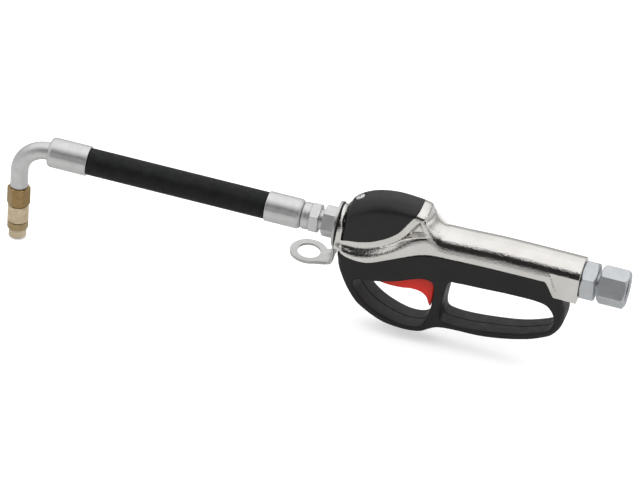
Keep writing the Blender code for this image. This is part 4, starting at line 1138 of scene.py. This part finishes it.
def build_outlet_adapter():
    start, face, end = -27.0 * MM, -13.7 * MM, 12.5 * MM
    hex_end = -3.2 * MM
    outer = [(start, 8.2 * MM), (face, 8.2 * MM)] + hex_ends(face, hex_end, FITTING_HEX, 0.8 * MM)
    outer += threads(hex_end, end, THREAD_RADIUS, THREAD_ROOT, THREAD_PITCH)
    return spun(bored(outer, [(start, ADAPTER_BORE), (end, ADAPTER_BORE)]), flats=FITTING_HEX)


def build_hose_nut():
    collar = fillet(mm((-30.5, 9.2), (-30.5, 10), (-29.4, 10.75), (-25, 10.75), (-24.2, 10.3)), 0.4 * MM)
    outer = collar + hex_ends(-24.0 * MM, -16.4 * MM, FITTING_HEX, 0.8 * MM)
    bore = mm((-30.5, 6.6), (-29.5, 6.6), (-29.5, 8.5), (-16.4, 8.5))
    return spun(bored(outer, bore), flats=FITTING_HEX)


def build_inlet_adapter():
    start, end = 178.0 * MM, 214.6 * MM
    outer = threads(start, 192.6 * MM, THREAD_RADIUS, THREAD_ROOT, THREAD_PITCH)
    outer += hex_ends(BODY_LENGTH + GAP, 205.1 * MM, INLET_HEX, 1.5 * MM)
    clip_groove = mm((208.9, 8), (208.9, 7.3), (210.3, 7.3), (210.3, 8))
    seal_groove = mm((211.6, 8), (211.6, 6.9), (213.2, 6.9), (213.2, 8))
    outer += mm((205.1, 8)) + clip_groove + seal_groove + mm((214.6, 8))
    return spun(bored(outer, [(start, ADAPTER_BORE), (end, ADAPTER_BORE)]), flats=INLET_HEX)


def build_swivel_nut():
    start, end = 207.5 * MM, 229.4 * MM
    outer = hex_ends(start, end, SWIVEL_HEX, 1.7 * MM)
    bore = [(start, 8.25 * MM), (208.9 * MM, 8.25 * MM), (208.9 * MM, 8.9 * MM), (210.3 * MM, 8.9 * MM),
            (210.3 * MM, 8.25 * MM), (215.0 * MM, 8.25 * MM), (215.0 * MM, 9.7 * MM)]
    bore += threads(216.0 * MM, end - 1.2 * MM, 9.3 * MM, 10.0 * MM, THREAD_PITCH) + [(end, 10.8 * MM)]
    return spun(bored(outer, bore), flats=SWIVEL_HEX)


def build_plate_gasket():
    outer, inner = RING_RADIUS - 0.4 * MM, THREAD_RADIUS + GAP
    loop = [(-0.9 * MM, inner), (-0.9 * MM, outer - 0.2 * MM), (-0.7 * MM, outer), (-0.4 * MM, outer),
            (-0.2 * MM, outer - 0.2 * MM), (-0.2 * MM, inner)]
    return spun(loop, 96)


def ferrule(outer_end, inner_end, neck):
    """Crimped shell from its mouth on the hose to its closed end."""
    way = 1.0 if outer_end > inner_end else -1.0
    crimp = HOSE_CRIMPED_RADIUS + GAP
    radius = FERRULE_RADIUS
    shell = fillet([
        (inner_end, crimp), (inner_end, radius - 0.35 * MM), (inner_end + way * 0.5 * MM, radius + 0.02 * MM),
        (outer_end - way * 2.6 * MM, radius + 0.02 * MM), (outer_end - way * 0.9 * MM, radius - 0.8 * MM),
        (outer_end, radius - 2.2 * MM), (outer_end, neck)], 1.2 * MM, 6)
    shell += [(outer_end - way * 2.2 * MM, neck), (outer_end - way * 2.2 * MM, crimp)]
    return spun(refined(shell, 1.0 * MM), 128, lobes=(8, radius - 0.12 * MM))


def build_hose():
    front, rear = FRONT_FERRULE[1] + GAP, REAR_FERRULE[0] - GAP
    first, last = FRONT_FERRULE[0] + 3.0 * MM, REAR_FERRULE[1] - 3.0 * MM
    crimped, swell = HOSE_CRIMPED_RADIUS, 0.2 * MM
    outer = fillet([(first, crimped), (front, crimped), (front + swell, HOSE_RADIUS),
                    (rear - swell, HOSE_RADIUS), (rear, crimped), (last, crimped)], 0.35 * MM)
    bore = [(last, HOSE_BORE), (first, HOSE_BORE)]
    return spun(refined(outer, 1.5 * MM) + refined(bore, 1.5 * MM), 72)


def elbow_path(outer):
    """Stations along the elbow's centre line, from its tail in the hose to its threaded end."""
    tail, shoulder = -233.0 * MM, -235.0 * MM
    tail_radius = 6.0 * MM if outer else 4.5 * MM
    radius = TUBE_RADIUS if outer else TUBE_BORE
    flat = [(-207.0 * MM, tail_radius), (tail, tail_radius), (shoulder, radius)]
    path = [(at(x, 0.0), 0.0, size) for x, size in flat]
    bend_steps = 40
    for k in range(bend_steps + 1):
        angle = BEND_ANGLE * k / bend_steps
        centre = at(BEND_START - BEND_RADIUS * math.sin(angle), BEND_RADIUS * (math.cos(angle) - 1.0))
        path.append((centre, angle, radius))
    stub = 6.2 * MM if outer else 4.5 * MM
    for distance, size in ((-6.0 * MM, radius), (-0.6 * MM, radius), (-0.4 * MM, radius - 0.25 * MM),
                           (-0.3 * MM, stub), (9.0 * MM, stub)):
        path.append((tip_origin() + distance * leg_direction(), BEND_ANGLE, size))
    return path


def build_elbow_tube():
    bore_path = elbow_path(outer=False)
    bore_path[0] = (bore_path[0][0] + at(5.0 * MM, 0.0), 0.0, bore_path[0][2])
    end, angle, radius = bore_path[-1]
    bore_path[-1] = (end + 5.0 * MM * leg_direction(), angle, radius)
    return combine(swept(elbow_path(outer=True), 64), swept(bore_path, 32))


def build_tip_hex():
    outer = hex_ends(0.0, TIP_HEX_LENGTH, TIP_HEX, 1.0 * MM)
    outer += threads(TIP_HEX_LENGTH, 33.0 * MM, 6.6 * MM, 6.2 * MM, 1.2 * MM)
    bore = mm((0, 6.5), (10, 6.5), (10, 4.6), (33, 4.6))
    return spun(bored(outer, bore), flats=TIP_HEX)


def build_tip_sleeve():
    outer = fillet([(TIP_HEX_LENGTH + GAP, 6.9 * MM), (TIP_HEX_LENGTH + GAP, 8.0 * MM),
                    (TIP_HEX_LENGTH + 0.6 * MM, 8.3 * MM), (SLEEVE_END - 0.5 * MM, 8.3 * MM),
                    (SLEEVE_END, 8.05 * MM), (SLEEVE_END, 6.9 * MM)], 0.25 * MM)
    return spun(refined(outer, 1.5 * MM), 96)


def build_tip_nozzle():
    top, end = SLEEVE_END + GAP, TIP_END - 0.15 * MM
    seat, recess = 39.0 * MM, 40.5 * MM
    profile = [(top, 6.9 * MM), (top, 8.05 * MM), (top + 0.4 * MM, 8.3 * MM), (top + 5.4 * MM, 8.3 * MM),
               (top + 8.2 * MM, 6.9 * MM), (end - 0.6 * MM, 6.8 * MM), (end, 6.2 * MM), (end, 5.2 * MM),
               (recess, 5.0 * MM), (recess, 3.0 * MM), (seat, 3.0 * MM), (seat, 4.6 * MM)]
    profile = fillet(profile + mm((33.3, 4.6), (33.3, 6.9)), 0.3 * MM)
    return spun(refined(profile, 1.0 * MM), 96)


def build_tip_poppet():
    head = 41.0 * MM
    profile = [(24.0 * MM, 0.0), (24.0 * MM, 2.9 * MM), (25.4 * MM, 2.9 * MM), (25.4 * MM, 1.1 * MM),
               (head, 1.1 * MM), (head, 3.1 * MM), (head + 0.6 * MM, 3.1 * MM), (head + 0.6 * MM, 4.4 * MM),
               (head + 1.8 * MM, 4.2 * MM), (head + 1.8 * MM, 0.0)]
    return spun(fillet(profile, 0.25 * MM), 48)


def build_guard_screw():
    profile = mm((-17, 0), (-17, 3.4), (-16.2, 3.9), (-14.6, 3.9), (-14.6, 1.9), (-3, 1.9), (-3, 0))
    screw = spun(fillet(profile, 0.25 * MM), 48)
    return combine(screw, rod(-20.0 * MM, -15.6 * MM, 1.7 * MM, 6))


# ---------------------------------------------------------------- hook plate

PLATE_BEND = 4.2 * MM
TAB_HALF_WIDTH = 10.0 * MM
RING_STEPS = 44
TAB_STEPS = 14
BEND_STEPS = 10
EYELET_STEPS = 26


def plate_path():
    """Stations down the plate's middle surface: (place, outward direction, distance, part)."""
    half = 0.5 * PLATE_THICKNESS
    middle_x = PLATE_FACE - half
    bend = PLATE_BEND
    turn_z = -TAB_DROP - half + bend
    stations = []
    for k in range(RING_STEPS + 1):
        share = 0.5 * (1.0 - math.cos(math.pi * (0.01 + 0.97 * k / RING_STEPS)))
        stations.append((RING_RADIUS * (1.0 - 2.0 * share), "ring"))
    start = stations[-1][0]
    stations += [(start + (turn_z - start) * k / TAB_STEPS, "tab") for k in range(1, TAB_STEPS + 1)]
    path = [(at(middle_x, z), at(1.0, 0.0), z, part) for z, part in stations]
    for k in range(1, BEND_STEPS + 1):
        angle = 0.5 * math.pi * k / BEND_STEPS
        place = at(middle_x - bend * (1.0 - math.cos(angle)), turn_z - bend * math.sin(angle))
        path.append((place, at(math.cos(angle), -math.sin(angle)), turn_z, "bend"))
    flat_z = -TAB_DROP - half
    first = -(middle_x - bend - PLATE_FACE)
    reach = EYELET_REACH + EYELET_RADIUS
    neck_end = EYELET_REACH - EYELET_HOLE
    distances = [first + (neck_end - first) * k / TAB_STEPS for k in range(1, TAB_STEPS)]
    hole_end = EYELET_REACH + EYELET_HOLE
    for low, high, last in ((neck_end, hole_end, 1.0), (hole_end, reach, 0.99)):
        turns = [math.pi * last * k / EYELET_STEPS for k in range(EYELET_STEPS + 1)]
        distances += [low + (high - low) * 0.5 * (1 - math.cos(turn)) for turn in turns]
    for distance in sorted(set(distances)):
        path.append((at(PLATE_FACE - distance, flat_z), at(0.0, -1.0), distance, "eyelet"))
    return path


def plate_widths(distance, part, side):
    """Width of the plate and of its hole on one side of the middle at a station."""
    if part == "ring":
        width = math.sqrt(max(RING_RADIUS ** 2 - distance ** 2, 0.0))
        if distance < 0.0:
            width = max(width, TAB_HALF_WIDTH)
        return width, math.sqrt(max((THREAD_RADIUS + GAP) ** 2 - distance ** 2, 0.0))
    if part in ("tab", "bend"):
        return TAB_HALF_WIDTH, 0.0
    around = distance - EYELET_REACH
    width = math.sqrt(max(EYELET_RADIUS ** 2 - around ** 2, 0.0))
    if around < 0.0 and side < 0.0:
        share = (distance - 3.0 * MM) / (EYELET_REACH - 3.0 * MM)
        width = max(width, (10.0 + 5.0 * min(max(share, 0.0), 1.0)) * MM)
    elif around < 0.0:
        neck = (10.0 - 2.6 * float(ease(distance, 2.5 * MM, 10.5 * MM))) * MM
        blend_width = 1.6 * MM
        mix = float(ease(width - neck, -blend_width, blend_width))
        width = max(width, neck) + 0.45 * MM * (1.0 - abs(2.0 * mix - 1.0))
    return width, math.sqrt(max(EYELET_HOLE ** 2 - around ** 2, 0.0))


def plate_half(side):
    """Rings of the plate's half on one side of its middle plane, with a press mark in the bend."""
    half = 0.5 * PLATE_THICKNESS
    edge = 0.35 * MM
    corner = at(PLATE_FACE - 3.4 * MM, -TAB_DROP + 1.0 * MM)
    rings = []
    for place, out, distance, part in plate_path():
        width, hole = plate_widths(distance, part, side)
        inner_edge = min(edge, hole)
        soft = min(edge, 0.4 * width)
        spans = [hole + (width - hole - soft - inner_edge) * k / 6 + inner_edge for k in range(7)]
        top = [(hole, half - inner_edge)] + [(y, half) for y in spans] + [(width, half - soft)]
        loop = top + [(y, -h) for y, h in reversed(top)]
        ring = []
        for y, h in loop:
            along = math.exp(-((place - corner).length / (3.4 * MM)) ** 4)
            pressed = 1.5 * MM * math.exp(-(y / (2.3 * MM)) ** 2) * along
            point = place + out * (h - pressed)
            ring.append((point.x, side * y, point.z))
        rings.append(ring)
    return rings


def build_hook_plate():
    """Ring behind the adapter's hexagon, a tab down from it, and an eyelet bent forward from the tab."""
    bm = bmesh.new()
    for side in (-1.0, 1.0):
        half = lofted(plate_half(side))
        bm.from_mesh(half.data)
        bpy.data.objects.remove(half)
    tiny = 0.001 * MM
    inner = [f for f in bm.faces if all(abs(v.co.y) < tiny for v in f.verts)]
    bmesh.ops.delete(bm, geom=inner, context="FACES")
    bmesh.ops.remove_doubles(bm, verts=bm.verts, dist=0.002 * MM)
    return put(object_from(bm), Matrix.Rotation(HOOK_CLOCK, 4, "X"))


# ---------------------------------------------------------------- assembly


def build_pieces():
    carry(build_casting(), "body_casting", NICKEL, "nickel", sharp_degrees=38.0)
    carry(build_top_cover(), "top_cover", COVER_CHARCOAL, "black_plastic")
    carry(build_cover_screw(), "cover_screw", ZINC, "steel", ON_COVER_SCREW)
    carry(build_guard(), "guard", CHARCOAL, "black_plastic")
    carry(build_trigger(), "trigger", RED, "red_plastic")
    for name, x in zip(("guard_screw_front", "guard_screw_rear"), GUARD_SCREW_X):
        carry(build_guard_screw(), name, STEEL, "steel", Matrix.Translation((x, 0.0, 0.0)))
    carry(build_outlet_adapter(), "outlet_adapter", ZINC, "zinc", ON_OUTLET @ HEX_CLOCK)
    carry(build_hose_nut(), "hose_nut", ZINC, "zinc", ON_OUTLET)
    carry(build_inlet_adapter(), "inlet_adapter", ZINC_BLUE, "zinc", ON_INLET)
    carry(build_swivel_nut(), "swivel_nut", ZINC_BLUE, "zinc", ON_INLET @ HEX_CLOCK)
    carry(build_plate_gasket(), "plate_gasket", SEAL, "seal_rubber", ON_OUTLET)
    carry(build_hook_plate(), "hook_plate", PLATE_ZINC, "zinc", sharp_degrees=50.0)
    rear = ferrule(REAR_FERRULE[1], REAR_FERRULE[0], 6.3 * MM)
    carry(rear, "rear_ferrule", ZINC, "zinc", ON_OUTLET)
    front = ferrule(FRONT_FERRULE[0], FRONT_FERRULE[1], TUBE_RADIUS + GAP)
    carry(front, "front_ferrule", ZINC, "zinc", ON_OUTLET)
    carry(build_elbow_tube(), "elbow_tube", ZINC, "zinc")
    carry(build_tip_hex(), "tip_hex", BRASS, "brass", ON_TIP @ TIP_CLOCK)
    carry(build_tip_sleeve(), "tip_sleeve", BRASS_SATIN, "brass", ON_TIP)
    carry(build_tip_nozzle(), "tip_nozzle", BRASS_NOZZLE, "brass", ON_TIP)
    carry(build_tip_poppet(), "tip_poppet", BRASS, "brass", ON_TIP)
    hose = stand_for(build_hose(), "hose", HOSE_RUBBER, "hose_rubber", ON_OUTLET, sharp_degrees=60.0)
    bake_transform(hose)
    spring_low, spring_high = node_span("valve_spring")
    spring = coil(spring_low.z, spring_high.z, 5.0 * MM, 0.6 * MM, 5)
    carry(spring, "valve_spring", STEEL, "steel", ON_VALVE, sharp_degrees=80.0)
    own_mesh(spring)
    tip_spring = coil(25.7 * MM, SPRING_SEAT, 2.2 * MM, 0.4 * MM, 6)
    carry(tip_spring, "tip_spring", STEEL, "steel", ON_TIP, sharp_degrees=80.0)
    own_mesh(tip_spring)


def finish_cad_nodes():
    """Gives the inner CAD nodes that stay shown their procedural materials."""
    inner = (
        (STEEL, ("trigger_pin", "valve_stem", "valve_cap", "swivel_clip", "hose_nipple")),
        (BRASS, ("valve_seat", "stem_gland")),
        (SEAL, ("poppet_seal", "cap_oring", "stem_oring", "swivel_oring", "tip_seal")),
    )
    for material, nodes in inner:
        for node in nodes:
            obj = frame["nodes"][node]
            obj.data.materials.clear()
            obj.data.materials.append(material)


# ---------------------------------------------------------------- floor, light and camera

AZIMUTH = math.radians(11.0)
ELEVATION = math.radians(32.0)
ROLL = math.radians(8.15)
DISTANCE = 5.51
AIM = at(-14.6 * MM, -18.9 * MM)
ROOM_LIGHT = 0.62


def view_back():
    return Vector((math.sin(AZIMUTH) * math.cos(ELEVATION), -math.cos(AZIMUTH) * math.cos(ELEVATION),
                   math.sin(ELEVATION)))


def add_camera():
    back = view_back()
    level = at(0.0, 1.0).cross(back).normalized()
    above = back.cross(level)
    right = math.cos(ROLL) * level + math.sin(ROLL) * above
    up = math.cos(ROLL) * above - math.sin(ROLL) * level
    data = bpy.data.cameras.new("camera")
    data.lens = 400.0
    data.sensor_width = 36.0
    data.clip_start = 0.05
    camera = bpy.data.objects.new("camera", data)
    place = ORIGIN + AIM + DISTANCE * back
    turn = Matrix((right, up, back)).transposed().to_4x4()
    camera.matrix_world = Matrix.Translation(place) @ turn
    bpy.context.scene.collection.objects.link(camera)
    bpy.context.scene.camera = camera


def add_floor():
    bm = bmesh.new()
    size = 6.0
    corners = [bm.verts.new((x * size, y * size, 0.0)) for x, y in ((-1, -1), (1, -1), (1, 1), (-1, 1))]
    bm.faces.new(corners)
    floor = object_from(bm, "floor")
    floor.location.z = CAD_BOX[0].z - 0.5 * MM
    look = Look("floor_paint", (0.80, 0.80, 0.80), 0.9, 0.0)
    path = look.nodes.new("ShaderNodeLightPath")
    glow = look.spread(path.outputs["Is Camera Ray"], 0.0, 0.42, 0.0, 1.0)
    mirrored = look.mix(path.outputs["Is Glossy Ray"], (0.80, 0.80, 0.80), (0.50, 0.50, 0.495))
    look.set("Base Color", mirrored)
    look.shader.inputs["Emission Color"].default_value = (1.0, 1.0, 1.0, 1.0)
    look.set("Emission Strength", glow)
    floor.data.materials.append(look.material)


def add_area_light(name, place, size, power, target=(0.0, 0.0, 0.05)):
    data = bpy.data.lights.new(name, "AREA")
    data.shape = "RECTANGLE"
    data.size, data.size_y = size
    data.energy = power
    light = bpy.data.objects.new(name, data)
    light.location = place
    light.rotation_mode = "QUATERNION"
    light.rotation_quaternion = (Vector(target) - Vector(place)).to_track_quat("-Z", "Y")
    light.visible_glossy = False
    bpy.context.scene.collection.objects.link(light)


def add_world():
    """Pale room. Mirrors see a wide softbox overhead and a dark studio behind the camera."""
    world = bpy.data.worlds.new("studio")
    bpy.context.scene.world = world
    world.use_nodes = True
    nodes, links = world.node_tree.nodes, world.node_tree.links
    calculate = functools.partial(calculated, world.node_tree)
    background = nodes["Background"]
    place = nodes.new("ShaderNodeTexCoord")
    split = nodes.new("ShaderNodeSeparateXYZ")
    links.new(place.outputs["Generated"], split.inputs["Vector"])

    def step(value, start, end, low, high):
        node = nodes.new("ShaderNodeMapRange")
        node.interpolation_type = "SMOOTHSTEP"
        for socket, number in zip(("From Min", "From Max", "To Min", "To Max"), (start, end, low, high)):
            node.inputs[socket].default_value = number
        links.new(value, node.inputs["Value"])
        return node.outputs["Result"]

    def by_elevation(start, end, low, high):
        return step(height, math.sin(math.radians(start)), math.sin(math.radians(end)), low, high)

    height = split.outputs["Z"]
    toward = calculate("ADD", calculate("MULTIPLY", split.outputs["X"], math.sin(AZIMUTH)),
                       calculate("MULTIPLY", split.outputs["Y"], -math.cos(AZIMUTH)))
    level_squared = calculate("SUBTRACT", 1.0, calculate("MULTIPLY", height, height))
    level = calculate("SQRT", calculate("MAXIMUM", level_squared, 0.0001))
    facing = step(calculate("DIVIDE", toward, level), 0.30, 0.80, 0.0, 1.0)
    above = by_elevation(48.0, 62.0, 0.0, 1.0)
    low = by_elevation(6.0, 21.0, 1.0, 0.0)
    horizon = by_elevation(0.0, 36.0, 0.32, 0.93)
    dark = calculate("MULTIPLY", facing, calculate("SUBTRACT", 1.0, calculate("MAXIMUM", above, low)))
    room = calculate("MAXIMUM", above, horizon)
    seen = calculate("MAXIMUM", calculate("MULTIPLY", room, calculate("SUBTRACT", 1.0, dark)), 0.02)
    path = nodes.new("ShaderNodeLightPath").outputs
    plain = calculate("SUBTRACT", 1.0, calculate("MAXIMUM", path["Is Glossy Ray"], path["Is Camera Ray"]))
    mirrored = calculate("MULTIPLY", seen, path["Is Glossy Ray"])
    lit = calculate("ADD", mirrored, calculate("MULTIPLY", plain, ROOM_LIGHT))
    links.new(calculate("ADD", lit, path["Is Camera Ray"]), background.inputs["Strength"])
    background.inputs["Color"].default_value = (1.0, 1.0, 1.0, 1.0)


def build_stage():
    add_floor()
    add_world()
    add_area_light("key", (-0.5, -0.9, 1.5), (1.2, 1.2), 14.0)
    add_area_light("top", (0.1, 0.3, 1.4), (1.6, 1.0), 10.0)
    add_camera()
    bpy.context.scene.view_settings.view_transform = "Standard"


build_pieces()
finish_cad_nodes()
build_stage()
bpy.context.view_layer.update()
